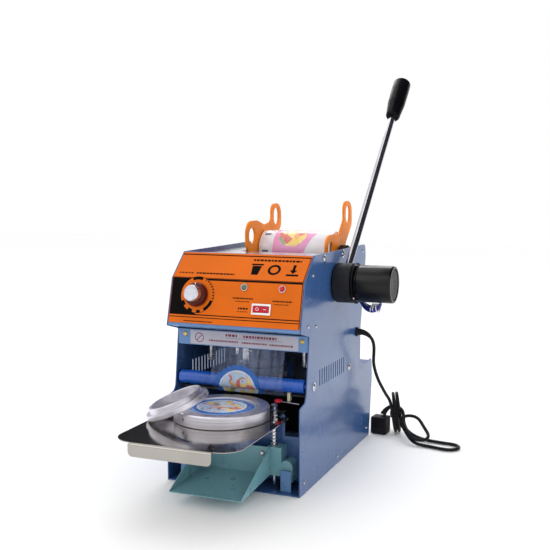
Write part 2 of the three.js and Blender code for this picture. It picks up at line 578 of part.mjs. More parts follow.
// Mains cord: grommet, the run down to a tied hank, the hank's spread loops, the doubled tail and the plug.
const CORD_RUN = [
  [133.8, 315, 232], [137, 315, 231.9], [142.5, 315.2, 230.5], [150.3, 316, 226], [155.8, 318.2, 219],
  [158, 321.8, 210], [157.2, 329, 198], [154, 339, 182], [151.4, 348, 165], [151.8, 359, 147],
  [154.8, 370, 128],
  [159.6, 382, 110], [165, 395, 92], [168.6, 408, 79], [169.65, 415.6, 72.15],
];
const CORD_TAIL = [
  [192.8, 421.5, 30.2], [199, 418.5, 22], [207, 414.5, 15], [217, 410, 9.8], [228.5, 405.8, 6.4],
  [241, 402, 4.5],
  [255, 399, 3.7], [270, 396.4, 3.6], [285, 393.5, 3.6], [304.8, 391.2, 3.6], [313.9, 385.9, 3.6],
  [319.2, 376.8, 3.6], [319.2, 366.2, 3.6], [313.9, 357.1, 3.6], [304.8, 351.8, 3.6], [287, 353, 3.6],
  [270, 358, 3.6], [251.2, 362, 3.7],
];
const CORD_END = [[159.8, 440, 55.6], [155, 438.6, 50.2], [151, 437.2, 44.4], [148.4, 435.6, 38.4]];
const HANK = { low: [176.5, 444, 24.2], high: [172, 440, 65], halfWidth: 22.6, halfDepth: 10.4 };
const LOOPS = { low: [237.6, 382.8, 16.8], high: [212.8, 413.5, 34.3], halfWidth: 22.4, halfDepth: 6.8 };

// A bundle's outer shape: an outline with round ends between two points, lying along a width direction.
function bundle({ low, high, halfWidth, halfDepth }, widthHint) {
  const start = new THREE.Vector3(...low);
  const along = new THREE.Vector3(...high).sub(start);
  const length = along.length();
  along.normalize();
  const across = widthHint.clone().addScaledVector(along, -widthHint.dot(along)).normalize();
  const face = new THREE.Vector3().crossVectors(along, across);
  const points = rectangle(-halfWidth, length + halfWidth, -halfWidth, halfWidth, halfWidth * 0.96);
  const flat = extrude(points, [], 2 * halfDepth).translate(0, 0, -halfDepth);
  return flat.applyMatrix4(new THREE.Matrix4().makeBasis(along, across, face).setPosition(start));
}

function addCord() {
  add('cord_grommet', turnedX([[0, HALF_WIDTH + GAP], [9, HALF_WIDTH + GAP], [9, HALF_WIDTH + 3],
    [6, HALF_WIDTH + 8.3], [0, HALF_WIDTH + 8.3]], 315, 232, 20), 'black');
  add('cord_run', rope(CORD_RUN, CORD / 2, 20), 'black');
  add('cord_hank', bundle(HANK, new THREE.Vector3(-0.26, 0.965, 0)), 'black');
  add('cord_loops', bundle(LOOPS, new THREE.Vector3(0.8, 0.6, 0)), 'black');
  add('cord_tail', rope(CORD_TAIL, CORD / 2, 24), 'black');
  add('cord_end', rope(CORD_END, CORD / 2, 4), 'black');
  const plugTop = 36;
  const bodyEdge = [[-15, -17, 4], [15, -17, 4], [15, 17, 4], [-15, 17, 4]];
  const body = plateZ(bodyEdge, 0.4, plugTop);
  const pinPlaces = [[0, 26], [-7, 12], [7, 12]];
  const prongs = pinPlaces.map(([v, z]) => box(13, 31, v - 0.9, v + 0.9, z - 3.2, z + 3.2));
  const plug = join(body, ...prongs).rotateZ(THREE.MathUtils.degToRad(85));
  add('mains_plug', plug.translate(144.3, 431, 0), 'black');
}

addBody();
addFrontPanel();
addControls();
addFilm();
addLever();
addMotor();
addCarriage();
addSlides();
addDrawer();
addTray();
addAdapter();
addCord();

export default machine;
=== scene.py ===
"""Cup sealing machine: the visual model. Lengths are millimetres in the helpers and metres in the scene.
Depth y is measured back from the front edge of the side plates, as in the CAD."""
import bpy
import bmesh
import math
from mathutils import Matrix, Vector


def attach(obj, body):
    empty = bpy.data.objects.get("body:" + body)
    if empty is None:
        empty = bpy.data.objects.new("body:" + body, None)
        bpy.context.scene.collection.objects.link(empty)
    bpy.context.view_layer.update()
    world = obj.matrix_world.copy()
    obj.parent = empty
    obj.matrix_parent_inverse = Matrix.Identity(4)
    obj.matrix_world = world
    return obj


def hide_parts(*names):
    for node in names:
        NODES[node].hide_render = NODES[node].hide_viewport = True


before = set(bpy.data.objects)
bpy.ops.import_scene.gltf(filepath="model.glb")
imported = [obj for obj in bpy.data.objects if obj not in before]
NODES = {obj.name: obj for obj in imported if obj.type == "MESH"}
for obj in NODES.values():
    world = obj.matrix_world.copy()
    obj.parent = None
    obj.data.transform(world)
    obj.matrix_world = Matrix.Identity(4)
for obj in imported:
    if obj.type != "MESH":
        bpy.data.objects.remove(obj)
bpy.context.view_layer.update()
SCENE = bpy.context.scene

FRONT = 205.0
HALF_WIDTH = 125.0
PLATE = 2.0
INNER = 122.6
LEVER_Y, LEVER_Z = 186.0, 343.0
ROLL_Y, ROLL_Z = 300, 388
GUIDE_Y, GUIDE_Z = 44, 179
GROMMET_Y, GROMMET_Z = 315, 232
LEADS_Y, LEADS_Z = 240, 322
KNOB_X, KNOB_Z = -71, 330.5
POST_X, POST_Y = 67.5, 29
MOULD_Y = -38
DIE_Y = 112
CORD = 6.5
CORD_EXIT = (133.8, GROMMET_Y, GROMMET_Z)
MM = 0.001

X = Vector((1, 0, 0))
Y = Vector((0, 1, 0))
Z = Vector((0, 0, 1))


def at(x, y, z):
    """A point in the scene, in metres, from the machine's own millimetres."""
    return Vector((x, y - FRONT, z)) * MM


# ---------------------------------------------------------------- camera
camera_data = bpy.data.cameras.new("camera")
camera_data.lens = 58.74
camera_data.sensor_width = 36
camera = bpy.data.objects.new("camera", camera_data)
SCENE.collection.objects.link(camera)
camera.location = (0.6334, -1.5654, 0.5264)
yaw, pitch = math.radians(22.128), math.radians(5.974)
look = Vector((-math.sin(yaw) * math.cos(pitch), math.cos(yaw) * math.cos(pitch), -math.sin(pitch)))
camera.rotation_mode = "QUATERNION"
camera.rotation_quaternion = look.to_track_quat("-Z", "Y")
camera_data.clip_start, camera_data.clip_end = 0.01, 50
SCENE.camera = camera


# ---------------------------------------------------------------- mesh helpers
def link(name, data):
    obj = bpy.data.objects.new(name, data)
    SCENE.collection.objects.link(obj)
    return obj


def shade(obj, angle=38, weighted=True):
    mesh = obj.data
    mesh.polygons.foreach_set("use_smooth", [True] * len(mesh.polygons))
    mesh.set_sharp_from_angle(angle=math.radians(angle))
    if weighted:
        modifier = obj.modifiers.new("normals", "WEIGHTED_NORMAL")
        modifier.keep_sharp = True
    return obj


def mesh_object(name, verts, faces, uvs=None):
    mesh = bpy.data.meshes.new(name)
    mesh.from_pydata(verts, [], faces)
    mesh.update()
    if uvs:
        layer = mesh.uv_layers.new(name="UVMap")
        for loop in mesh.loops:
            layer.data[loop.index].uv = uvs[loop.vertex_index]
    return link(name, mesh)


def tidy(mesh, distance=1e-6):
    bm = bmesh.new()
    bm.from_mesh(mesh)
    bmesh.ops.remove_doubles(bm, verts=bm.verts, dist=distance)
    bmesh.ops.recalc_face_normals(bm, faces=bm.faces)
    bm.to_mesh(mesh)
    bm.free()


def round_corners(points, closed=True, step=8.0):
    """Points [u, v] or [u, v, radius]; each rounded corner becomes an arc."""
    result = []
    count = len(points)
    for i, (u, v, *rest) in enumerate(points):
        corner = Vector((u, v))
        radius = rest[0] if rest else 0
        if radius <= 0 or (not closed and i in (0, count - 1)):
            result.append(corner)
            continue
        before = Vector(points[i - 1][:2]) - corner
        after = Vector(points[(i + 1) % count][:2]) - corner
        half = before.angle(after) / 2
        if half > math.radians(89):
            result.append(corner)
            continue
        cut = min(radius / math.tan(half), before.length * 0.49, after.length * 0.49)
        radius = cut * math.tan(half)
        start = corner + before.normalized() * cut
        end = corner + after.normalized() * cut
        middle = (before.normalized() + after.normalized()).normalized()
        centre = corner + middle * (radius / math.sin(half))
        a0 = math.atan2(start.y - centre.y, start.x - centre.x)
        a1 = math.atan2(end.y - centre.y, end.x - centre.x)
        turn = math.atan2(math.sin(a1 - a0), math.cos(a1 - a0))
        steps = max(2, math.ceil(abs(math.degrees(turn)) / step))
        for k in range(steps + 1):
            a = a0 + turn * k / steps
            result.append(centre + Vector((math.cos(a), math.sin(a))) * radius)
    return result


def rectangle(u0, u1, v0, v1, radius=0):
    return [[u0, v0, radius], [u1, v0, radius], [u1, v1, radius], [u0, v1, radius]]


def slot_hole(u, v, half_length, half_width):
    return rectangle(u - half_width, u + half_width, v - half_length, v + half_length, half_width * 0.98)


def circle(u, v, radius, steps=48):
    angles = [2 * math.pi * k / steps for k in range(steps)]
    return [[u + radius * math.cos(a), v + radius * math.sin(a)] for a in angles]


PLANES = {
    "X": (Y, Z, X),
    "Y": (X, Z, -Y),
    "Z": (X, Y, Z),
}


def plate(name, edge, low, high, axis, holes=(), bevel=0.4):
    """A sheet cut to a rounded outline with holes, its edges eased all round."""
    curve = bpy.data.curves.new(name, "CURVE")
    curve.dimensions = "2D"
    curve.fill_mode = "BOTH"
    for loop in [edge, *holes]:
        points = round_corners(loop)
        spline = curve.splines.new("POLY")
        spline.points.add(len(points) - 1)
        for target, point in zip(spline.points, points):
            target.co = (point.x * MM, point.y * MM, 0, 1)
        spline.use_cyclic_u = True
    curve.bevel_depth = bevel * MM
    curve.bevel_resolution = 2
    curve.offset = -bevel * MM
    curve.extrude = ((high - low) / 2 - bevel) * MM
    source = link(name + "_curve", curve)
    depsgraph = bpy.context.evaluated_depsgraph_get()
    mesh = bpy.data.meshes.new_from_object(source.evaluated_get(depsgraph))
    bpy.data.objects.remove(source)
    u, v, w = PLANES[axis]
    middle = (low + high) / 2
    turn = Matrix((u, v, w)).transposed().to_4x4()
    shift = at(0, 0, 0) + (X if axis == "X" else Y if axis == "Y" else Z) * middle * MM
    mesh.transform(Matrix.Translation(shift) @ turn)
    mesh.name = name
    tidy(mesh)
    return shade(link(name, mesh))


def lathe(name, profile, origin, axis, steps=72, closed=False, corner=0.5, angle=38):
    """A turned part: profile [radius, along] or [radius, along, corner radius] round an axis."""
    rounded = [[*p[:2], p[2] if len(p) > 2 else corner] for p in profile]
    points = round_corners(rounded, closed=closed, step=22)
    axis = Vector(axis).normalized()
    side = axis.orthogonal().normalized() if abs(axis.x) < 0.99 else Y
    up = axis.cross(side)
    verts, uvs, rings = [], [], []
    widest = max(p.x for p in points)
    for p in points:
        ring = []
        for k in range(1 if p.x < 1e-6 else steps + 1):
            a = 2 * math.pi * k / steps
            verts.append(origin + (axis * p.y + (side * math.cos(a) + up * math.sin(a)) * p.x) * MM)
            uvs.append((p.y * MM, a * widest * MM))
            ring.append(len(verts) - 1)
        rings.append(ring)
    faces = []
    pairs = list(zip(rings, rings[1:])) + ([(rings[-1], rings[0])] if closed else [])
    for a, b in pairs:
        for k in range(steps):
            if len(a) == 1 and len(b) == 1:
                continue
            if len(a) == 1:
                faces.append((a[0], b[k + 1], b[k]))
            elif len(b) == 1:
                faces.append((a[k], a[k + 1], b[0]))
            else:
                faces.append((a[k], a[k + 1], b[k + 1], b[k]))
    obj = mesh_object(name, verts, faces, uvs)
    tidy(obj.data, 1e-7)
    return shade(obj, angle, weighted=False)


def block(name, x0, x1, y0, y1, z0, z1, bevel=0.6, segments=3):
    low, high = at(x0, y0, z0), at(x1, y1, z1)
    bm = bmesh.new()
    bmesh.ops.create_cube(bm, size=1)
    size = high - low
    for v in bm.verts:
        v.co = Vector((v.co.x * size.x, v.co.y * size.y, v.co.z * size.z)) + (low + high) / 2
    bmesh.ops.bevel(bm, geom=bm.edges[:], offset=bevel * MM, segments=segments, profile=0.5,
                    affect="EDGES", clamp_overlap=True)
    mesh = bpy.data.meshes.new(name)
    bm.to_mesh(mesh)
    bm.free()
    return shade(link(name, mesh))


def refine(node, bevel, name=None, segments=3, limit=30):
    """A CAD part's own shape with its edges eased."""
    bm = bmesh.new()
    bm.from_mesh(NODES[node].data)
    bmesh.ops.remove_doubles(bm, verts=bm.verts, dist=2e-6)
    bmesh.ops.dissolve_limit(bm, angle_limit=math.radians(0.8), use_dissolve_boundaries=False,
                             verts=bm.verts, edges=bm.edges)
    sharp = [e for e in bm.edges if len(e.link_faces) == 2
             and e.calc_face_angle(0) > math.radians(limit)]
    if bevel > 0:
        bmesh.ops.bevel(bm, geom=sharp, offset=bevel * MM, segments=segments, profile=0.5,
                        affect="EDGES", clamp_overlap=True)
    bm.verts.ensure_lookup_table()
    bm.verts.index_update()
    verts = [v.co.copy() for v in bm.verts]
    faces = [[v.index for v in f.verts] for f in bm.faces]
    bm.free()
    return shade(mesh_object(name or node + "_skin", verts, faces))


def smooth_path(points, spacing=3.0, rounds=2):
    """A smooth run through the points: centripetal Catmull-Rom, evenly spaced, lightly relaxed."""
    points = [Vector(p) for p in points]
    ends = [points[0] * 2 - points[1], *points, points[-1] * 2 - points[-2]]
    dense = []
    for a, b, c, d in zip(ends, ends[1:], ends[2:], ends[3:]):
        t = [0.0]
        for p, q in ((a, b), (b, c), (c, d)):
            t.append(t[-1] + max((q - p).length, 1e-6) ** 0.5)
        for k in range(16):
            s = t[1] + (t[2] - t[1]) * k / 16
            ab = a * ((t[1] - s) / t[1]) + b * (s / t[1])
            bc = b * ((t[2] - s) / (t[2] - t[1])) + c * ((s - t[1]) / (t[2] - t[1]))
            cd = c * ((t[3] - s) / (t[3] - t[2])) + d * ((s - t[2]) / (t[3] - t[2]))
            abc = ab * ((t[2] - s) / t[2]) + bc * (s / t[2])
            bcd = bc * ((t[3] - s) / (t[3] - t[1])) + cd * ((s - t[1]) / (t[3] - t[1]))
            dense.append(abc * ((t[2] - s) / (t[2] - t[1])) + bcd * ((s - t[1]) / (t[2] - t[1])))
    dense.append(points[-1])
    for turn in range(rounds + 1):
        dense = resample(dense, spacing)
        if turn < rounds:
            dense = [dense[0], dense[1]] + [
                p * 0.5 + (dense[i + 1] + dense[i + 3]) * 0.25 for i, p in enumerate(dense[2:-2])
            ] + [dense[-2], dense[-1]]
    return dense


def resample(points, spacing):
    lengths = [0.0]
    for p, q in zip(points, points[1:]):
        lengths.append(lengths[-1] + (q - p).length)
    count = max(2, round(lengths[-1] / spacing))
    result, j = [], 0
    for k in range(count + 1):
        target = lengths[-1] * k / count
        while j < len(points) - 2 and lengths[j + 1] < target:
            j += 1
        span = lengths[j + 1] - lengths[j]
        result.append(points[j].lerp(points[j + 1], (target - lengths[j]) / span if span else 0))
    return result


def tube_curve(name, points, radius, resolution=6):
    """A round cord as a curve through points in machine millimetres."""
    curve = bpy.data.curves.new(name, "CURVE")
    curve.dimensions = "3D"
    curve.bevel_depth = radius * MM
    curve.bevel_resolution = resolution
    curve.use_fill_caps = True
    spline = curve.splines.new("POLY")
    spline.points.add(len(points) - 1)
    for target, point in zip(spline.points, points):
        target.co = (*at(*point), 1)
    spline.use_smooth = True
    return link(name, curve)


def tube(name, points, radius, resolution=4, spacing=2.0):
    """The same as a mesh."""
    source = tube_curve(name + "_curve", smooth_path(points, spacing, 0), radius, resolution)
    depsgraph = bpy.context.evaluated_depsgraph_get()
    mesh = bpy.data.meshes.new_from_object(source.evaluated_get(depsgraph))
    bpy.data.objects.remove(source)
    mesh.name = name
    return shade(link(name, mesh), 50, weighted=False)


def merge(name, objects):
    """Several small parts of one kind as one piece."""
    bm = bmesh.new()
    for obj in objects:
        bm.from_mesh(obj.data)
    mesh = bpy.data.meshes.new(name)
    bm.to_mesh(mesh)
    bm.free()
    for obj in objects:
        bpy.data.objects.remove(obj)
    return shade(link(name, mesh), weighted=False)


def piece(obj, body, slot, material, *nodes):
    obj.data.materials.clear()
    obj.data.materials.append(material)
    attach(obj, body)
    if nodes:
        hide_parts(*nodes)
    return obj


def eased(node, bevel, name, body, slot, material):
    """A CAD part's eased copy as the piece that replaces it."""
    return piece(refine(node, bevel, name), body, slot, material, node)


# ---------------------------------------------------------------- materials
def linear(colour):
    def channel(c):
        c /= 255
        return c / 12.92 if c <= 0.04045 else ((c + 0.055) / 1.055) ** 2.4
    return (*[channel(c) for c in colour], 1)


class Shader:
    """A node material and short calls for its nodes."""

    def __init__(self, name):
        self.material = bpy.data.materials.new(name)
        self.material.use_nodes = True
        self.tree = self.material.node_tree
        self.bsdf = self.tree.nodes["Principled BSDF"]

    def node(self, kind, inputs=None, **settings):
        node = self.tree.nodes.new(kind)
        for key, value in settings.items():
            setattr(node, key, value)
        for key, value in (inputs or {}).items():
            self.put(node.inputs[key], value)
        return node

    def put(self, socket, value):
        if isinstance(value, bpy.types.NodeSocket):
            self.tree.links.new(value, socket)
        elif isinstance(value, bpy.types.Node):
            self.tree.links.new(value.outputs[0], socket)
        else:
            socket.default_value = value

    def math(self, operation, a, b=0.0):
        return self.node("ShaderNodeMath", {0: a, 1: b}, operation=operation).outputs[0]

    def vector(self, operation, a, b=(0, 0, 0)):
        node = self.node("ShaderNodeVectorMath", {0: a, 1: b}, operation=operation)
        return node.outputs["Value" if operation in ("LENGTH", "DISTANCE") else "Vector"]

    def coordinates(self, stretch=(1, 1, 1)):
        source = self.node("ShaderNodeTexCoord").outputs["Object"]
        return self.node("ShaderNodeMapping", {"Vector": source, "Scale": stretch}).outputs[0]

    def noise(self, vector, scale, detail=3.0, roughness=0.55):
        inputs = {"Vector": vector, "Scale": scale, "Detail": detail, "Roughness": roughness}
        return self.node("ShaderNodeTexNoise", inputs).outputs[0]

    def ramp(self, factor, stops, constant=False):
        node = self.node("ShaderNodeValToRGB", {"Fac": factor})
        ramp = node.color_ramp
        ramp.interpolation = "CONSTANT" if constant else "LINEAR"
        while len(ramp.elements) < len(stops):
            ramp.elements.new(0.5)
        for element, (position, colour) in zip(ramp.elements, stops):
            element.position = position
            element.color = colour if len(colour) == 4 else linear(colour)
        return node.outputs[0]

    def mix(self, factor, a, b):
        node = self.node("ShaderNodeMix", {"Factor": factor}, data_type="RGBA")
        self.put(node.inputs[6], a if not isinstance(a, tuple) or len(a) == 4 else linear(a))
        self.put(node.inputs[7], b if not isinstance(b, tuple) or len(b) == 4 else linear(b))
        return node.outputs[2]

    def spread(self, factor, low, high):
        inputs = {"Value": factor, "From Min": 0.3, "From Max": 0.7, "To Min": low, "To Max": high}
        return self.node("ShaderNodeMapRange", inputs).outputs[0]

    def bump(self, height, strength, distance=0.0002):
        node = self.node("ShaderNodeBump", {"Height": height, "Strength": strength, "Distance": distance})
        self.put(self.bsdf.inputs["Normal"], node.outputs[0])


def surface(name, colour, roughness=0.4, metallic=0.0, vary=0.07, scale=18, grain=0.12, grain_scale=900,
            coat=0.0, stretch=(1, 1, 1), specular=0.5):
    """Paint, plastic or metal: uneven colour and gloss and a fine surface grain."""
    s = Shader(name)
    where = s.coordinates(stretch)
    broad = s.noise(where, scale)
    fine = s.noise(where, grain_scale, 2.0)
    dark = tuple(max(0, c * (1 - vary)) for c in colour)
    light = tuple(min(255, c * (1 + vary)) for c in colour)
    s.put(s.bsdf.inputs["Base Color"], s.ramp(broad, [(0.3, dark), (0.7, light)]))
    s.put(s.bsdf.inputs["Roughness"],
          s.spread(s.noise(where, scale * 4), roughness * 0.82, roughness * 1.22))
    s.bsdf.inputs["Metallic"].default_value = metallic
    s.bsdf.inputs["Coat Weight"].default_value = coat
    s.bsdf.inputs["Coat Roughness"].default_value = 0.12
    s.bsdf.inputs["Specular IOR Level"].default_value = specular
    s.bump(fine, grain)
    return s.material


def turned_metal(name, colour, centre, axis="Z", roughness=0.32, pitch=1.1, strength=0.25):
    """Machined metal with fine tool rings about an axis through centre."""
    s = Shader(name)
    where = s.node("ShaderNodeTexCoord").outputs["Object"]
    local = s.vector("SUBTRACT", where, tuple(centre))
    keep = {"X": (0, 1, 1), "Y": (1, 0, 1), "Z": (1, 1, 0)}[axis]
    along = tuple(1 - k for k in keep)
    radius = s.vector("LENGTH", s.vector("MULTIPLY", local, keep))
    depth = s.vector("LENGTH", s.vector("MULTIPLY", local, along))
    wobble = s.math("MULTIPLY", s.noise(where, 60), 0.002)
    rate = 2 * math.pi / (pitch * MM)
    rings = s.math("SINE", s.math("MULTIPLY", s.math("ADD", s.math("ADD", radius, depth), wobble), rate))
    bands = s.noise(s.node("ShaderNodeCombineXYZ", {"X": radius, "Y": depth, "Z": 0.0}).outputs[0], 260, 4.0,
                    0.7)
    dark = tuple(c * 0.86 for c in colour)
    light = tuple(min(255, c * 1.09) for c in colour)
    s.put(s.bsdf.inputs["Base Color"], s.ramp(bands, [(0.3, dark), (0.7, light)]))
    s.put(s.bsdf.inputs["Roughness"], s.spread(s.noise(where, 90), roughness * 0.8, roughness * 1.3))
    s.bsdf.inputs["Metallic"].default_value = 1.0
    s.bump(s.math("ADD", s.math("MULTIPLY", rings, 0.3), s.math("MULTIPLY", bands, 2.0)), strength, 0.00012)
    return s.material


FRUIT = [(0.0, (212, 52, 58)), (0.36, (238, 196, 66)), (0.46, (236, 148, 70)), (0.54, (110, 158, 84)),
         (0.62, (196, 44, 66)), (0.72, (240, 214, 120))]


def fruit(s, where, scale):
    cells = s.node("ShaderNodeTexVoronoi", {"Vector": where, "Scale": scale, "Randomness": 1.0})
    tone = s.node("ShaderNodeSeparateColor", {"Color": cells.outputs["Color"]}).outputs[0]
    shade_of = s.noise(where, scale * 4, 3.0)
    colours = s.ramp(tone, FRUIT, constant=True)
    return s.mix(s.spread(shade_of, 0.0, 0.35), colours, (250, 240, 214))


def disc_print(s, where, radius):
    """A printed lid: blue border, thin white ring, pale middle with a wreath of coloured shapes."""
    distance = s.math("DIVIDE", s.vector("LENGTH", where), radius)
    wreath = s.noise(where, 55, 2.0)
    in_wreath = s.math("MULTIPLY", s.math("GREATER_THAN", wreath, 0.5), s.math("LESS_THAN", distance, 0.66))
    pale = s.mix(s.noise(where, 40), (214, 226, 240), (176, 204, 234))
    middle = s.mix(in_wreath, pale, fruit(s, where, 95))
    border = s.ramp(distance, [(0.0, (255, 255, 255)), (0.70, (236, 240, 246)), (0.735, (46, 112, 196)),
                               (0.93, (60, 126, 206)), (0.965, (222, 232, 242))], constant=True)
    outside = s.math("GREATER_THAN", distance, 0.70)
    return s.mix(outside, middle, border), distance


def film_disc_material():
    s = Shader("film_print_disc")
    local = s.vector("SUBTRACT", s.node("ShaderNodeTexCoord").outputs["Object"], tuple(at(0, MOULD_Y, 0)))
    flat = s.vector("MULTIPLY", local, (1, 1, 0))
    colour, _ = disc_print(s, flat, 0.0565)
    s.put(s.bsdf.inputs["Base Color"], colour)
    s.put(s.bsdf.inputs["Roughness"], s.spread(s.noise(flat, 70), 0.18, 0.34))
    s.bsdf.inputs["Coat Weight"].default_value = 0.5
    s.bump(s.noise(flat, 45, 2.0), 0.35, 0.0008)
    return s.material


def film_roll_material():
    s = Shader("film_print_roll")
    uv = s.node("ShaderNodeTexCoord").outputs["UV"]
    parts = s.node("ShaderNodeSeparateXYZ", {"Vector": uv})
    u, v = parts.outputs[0], parts.outputs[1]
    turn = 2 * math.pi * 0.041
    focus = turn * ROLL_FOCUS / 360
    flat = s.node("ShaderNodeCombineXYZ", {"X": s.math("SUBTRACT", u, 0.006),
                                           "Y": s.math("SUBTRACT", v, focus), "Z": 0.0}).outputs[0]
    distance = s.vector("LENGTH", flat)
    pink = s.mix(s.noise(flat, 28, 2.0), (236, 160, 200), (222, 136, 184))
    white = s.mix(s.noise(flat, 60, 3.0), (240, 234, 236), (214, 214, 222))
    slant = s.math("ADD", u, s.math("MULTIPLY", s.math("SUBTRACT", v, focus), 0.45))
    is_right = s.math("GREATER_THAN", slant, 0.052)
    is_left = s.math("LESS_THAN", u, -0.031)
    field = s.mix(s.math("MAXIMUM", is_right, is_left), pink, white)
    drift = s.math("ADD", distance, s.math("MULTIPLY", s.noise(flat, 70), 0.012))
    field = s.mix(s.math("LESS_THAN", drift, 0.0345), field, fruit(s, flat, 62))
    mark = s.math("MULTIPLY", s.math("LESS_THAN", u, -0.040), s.math("GREATER_THAN", u, -0.053))
    rows = s.math("GREATER_THAN", s.math("SINE", s.math("MULTIPLY", v, 160)), 0.86)
    field = s.mix(s.math("MULTIPLY", mark, rows), field, (96, 110, 140))
    place = s.vector("SUBTRACT", s.node("ShaderNodeTexCoord").outputs["Object"],
                     tuple(at(0, ROLL_Y, ROLL_Z)))
    radius = s.vector("LENGTH", s.vector("MULTIPLY", place, (0, 1, 1)))
    layers = s.noise(s.node("ShaderNodeCombineXYZ", {"X": radius, "Y": 0.0, "Z": 0.0}).outputs[0], 900, 2.0)
    wound = s.mix(layers, (226, 190, 208), (246, 240, 244))
    card = s.mix(s.math("LESS_THAN", radius, 0.013), wound, (178, 146, 108))
    s.put(s.bsdf.inputs["Base Color"], s.mix(s.math("LESS_THAN", radius, 0.0402), field, card))
    s.put(s.bsdf.inputs["Roughness"], s.spread(s.noise(flat, 50), 0.16, 0.3))
    s.bsdf.inputs["Coat Weight"].default_value = 0.4
    s.bump(s.noise(s.vector("MULTIPLY", flat, (1, 4, 1)), 26, 2.0), 0.3, 0.0012)
    return s.material


def film_web_material(focus):
    """Clear film with a printed disc every 150 mm along it; the clear part carries a pale tint in streaks of
    opacity, a painted sheen.
    """
    s = Shader("film_clear_print")
    uv = s.node("ShaderNodeTexCoord").outputs["UV"]
    parts = s.node("ShaderNodeSeparateXYZ", {"Vector": uv})
    along = s.math("SUBTRACT", s.math("MODULO", s.math("ADD", parts.outputs[1], 0.975 - focus), 0.15), 0.075)
    flat = s.node("ShaderNodeCombineXYZ", {"X": s.math("ADD", parts.outputs[0], 0.004),
                                           "Y": along, "Z": 0.0}).outputs[0]
    colour, distance = disc_print(s, flat, 0.048)
    printed = s.math("LESS_THAN", distance, 0.93)
    # The pale blue-grey tint of the clear film, shown through these streaks of opacity, is painted sheen
    # standing in for light caught by the film.
    painted_sheen_streaks = s.noise(s.vector("MULTIPLY", flat, (9, 0.6, 1)), 14, 2.0)
    s.put(s.bsdf.inputs["Base Color"], s.mix(printed, (150, 168, 206), colour))
    s.put(s.bsdf.inputs["Alpha"], s.math("ADD", s.math("MULTIPLY", printed, 0.46),
                                         s.spread(painted_sheen_streaks, 0.03, 0.17)))
    s.put(s.bsdf.inputs["Roughness"], s.spread(s.noise(flat, 20), 0.08, 0.2))
    s.bump(s.noise(s.vector("MULTIPLY", flat, (6, 1, 1)), 12, 2.0), 0.35, 0.002)
    return s.material


ROLL_FOCUS = 122.0

BLUE = surface("blue_enamel", (54, 88, 140), 0.24, vary=0.04, scale=6, grain=0.02, grain_scale=420, coat=0.2)
# A lighter copy of the blue enamel for the parts that face front: painted light, the same paint as the side
# plates shown as if lit.
BLUE_PAINTED_LIT = surface("blue_enamel_painted_lit_front", (86, 128, 178), 0.3, vary=0.05, scale=9, grain=0.04,
                     grain_scale=420,
                     coat=0.3)
TEAL = surface("teal_enamel", (112, 160, 170), 0.3, vary=0.04, scale=8, grain=0.04, grain_scale=500,
               coat=0.2)
ORANGE_FACE = surface("orange_overlay", (216, 102, 12), 0.42, vary=0.035, scale=11, grain=0.05,
                      grain_scale=1400, specular=0.14)
ORANGE = surface("orange_plastic", (238, 132, 22), 0.42, vary=0.07, scale=26, grain=0.16, grain_scale=700,
                 specular=0.22)
BLACK_PRINT = surface("black_print", (9, 7, 7), 0.6, vary=0.3, scale=60, grain=0.05, specular=0.06)
RED_PRINT = surface("red_print", (126, 58, 72), 0.5, vary=0.12, scale=160, grain=0.05, specular=0.2)
LABEL = surface("white_label", (176, 174, 186), 0.42, vary=0.05, scale=22, grain=0.06)
BLACK_PLASTIC = surface("black_plastic", (19, 19, 22), 0.48, vary=0.2, scale=30, grain=0.2, grain_scale=1100,
                        specular=0.2)
GRIP = surface("black_grip", (8, 8, 12), 0.3, vary=0.2, scale=30, grain=0.06, grain_scale=900, specular=0.12)
HUB = surface("dark_casting", (30, 30, 35), 0.55, vary=0.12, scale=40, grain=0.3, grain_scale=1300,
              specular=0.22)
GLOSS_BLACK = surface("black_gloss", (5, 5, 7), 0.2, vary=0.2, scale=16, grain=0.03, specular=0.3)
DARK_DISC = surface("black_disc", (10, 10, 13), 0.4, vary=0.2, scale=30, grain=0.12, specular=0.14)
RECESS = surface("grey_recess", (58, 56, 54), 0.55, vary=0.15, scale=60, grain=0.4, grain_scale=1500)
MAROON = surface("maroon_plastic", (74, 12, 16), 0.3, vary=0.14, scale=40, grain=0.06, specular=0.25)
RED = surface("red_plastic", (186, 20, 44), 0.26, vary=0.08, scale=60, grain=0.04, specular=0.3)
RED_LENS = surface("red_lens", (190, 14, 30), 0.12, vary=0.15, scale=200, grain=0.03, coat=0.2)
GREEN_LENS = surface("green_lens", (92, 112, 98), 0.12, vary=0.2, scale=200, grain=0.03, coat=0.2)
WHITE_PLASTIC = surface("white_plastic", (238, 236, 236), 0.35, vary=0.03, scale=60, grain=0.12)
CREAM = surface("cream_plastic", (214, 210, 178), 0.4, vary=0.08, scale=90, grain=0.2)
CHROME = surface("chrome", (206, 206, 212), 0.09, 1.0, vary=0.05, scale=30, grain=0.04, grain_scale=900)
STEEL = surface("bright_steel", (182, 182, 188), 0.24, 1.0, vary=0.12, scale=34, grain=0.15,
                grain_scale=700, stretch=(1, 1, 5))
DARK_STEEL = surface("dark_steel", (48, 48, 54), 0.42, 0.7, vary=0.25, scale=34, grain=0.25)
BRASS = surface("brass", (206, 178, 108), 0.3, 1.0, vary=0.14, scale=150, grain=0.1)
MIRROR = surface("mirror_tray", (168, 164, 158), 0.10, 1.0, vary=0.05, scale=9, grain=0.05, grain_scale=260,
                 stretch=(1, 6, 1))
TOP_STEEL = surface("top_steel", (206, 206, 212), 0.2, 1.0, vary=0.06, scale=12, grain=0.08,
                    stretch=(1, 5, 1))
CASTING = surface("heater_casting", (84, 86, 98), 0.5, 0.8, vary=0.14, scale=26, grain=0.3)
ROLLER_BLUE = surface("blue_roller", (24, 82, 176), 0.28, vary=0.08, scale=22, grain=0.06, coat=0.2)
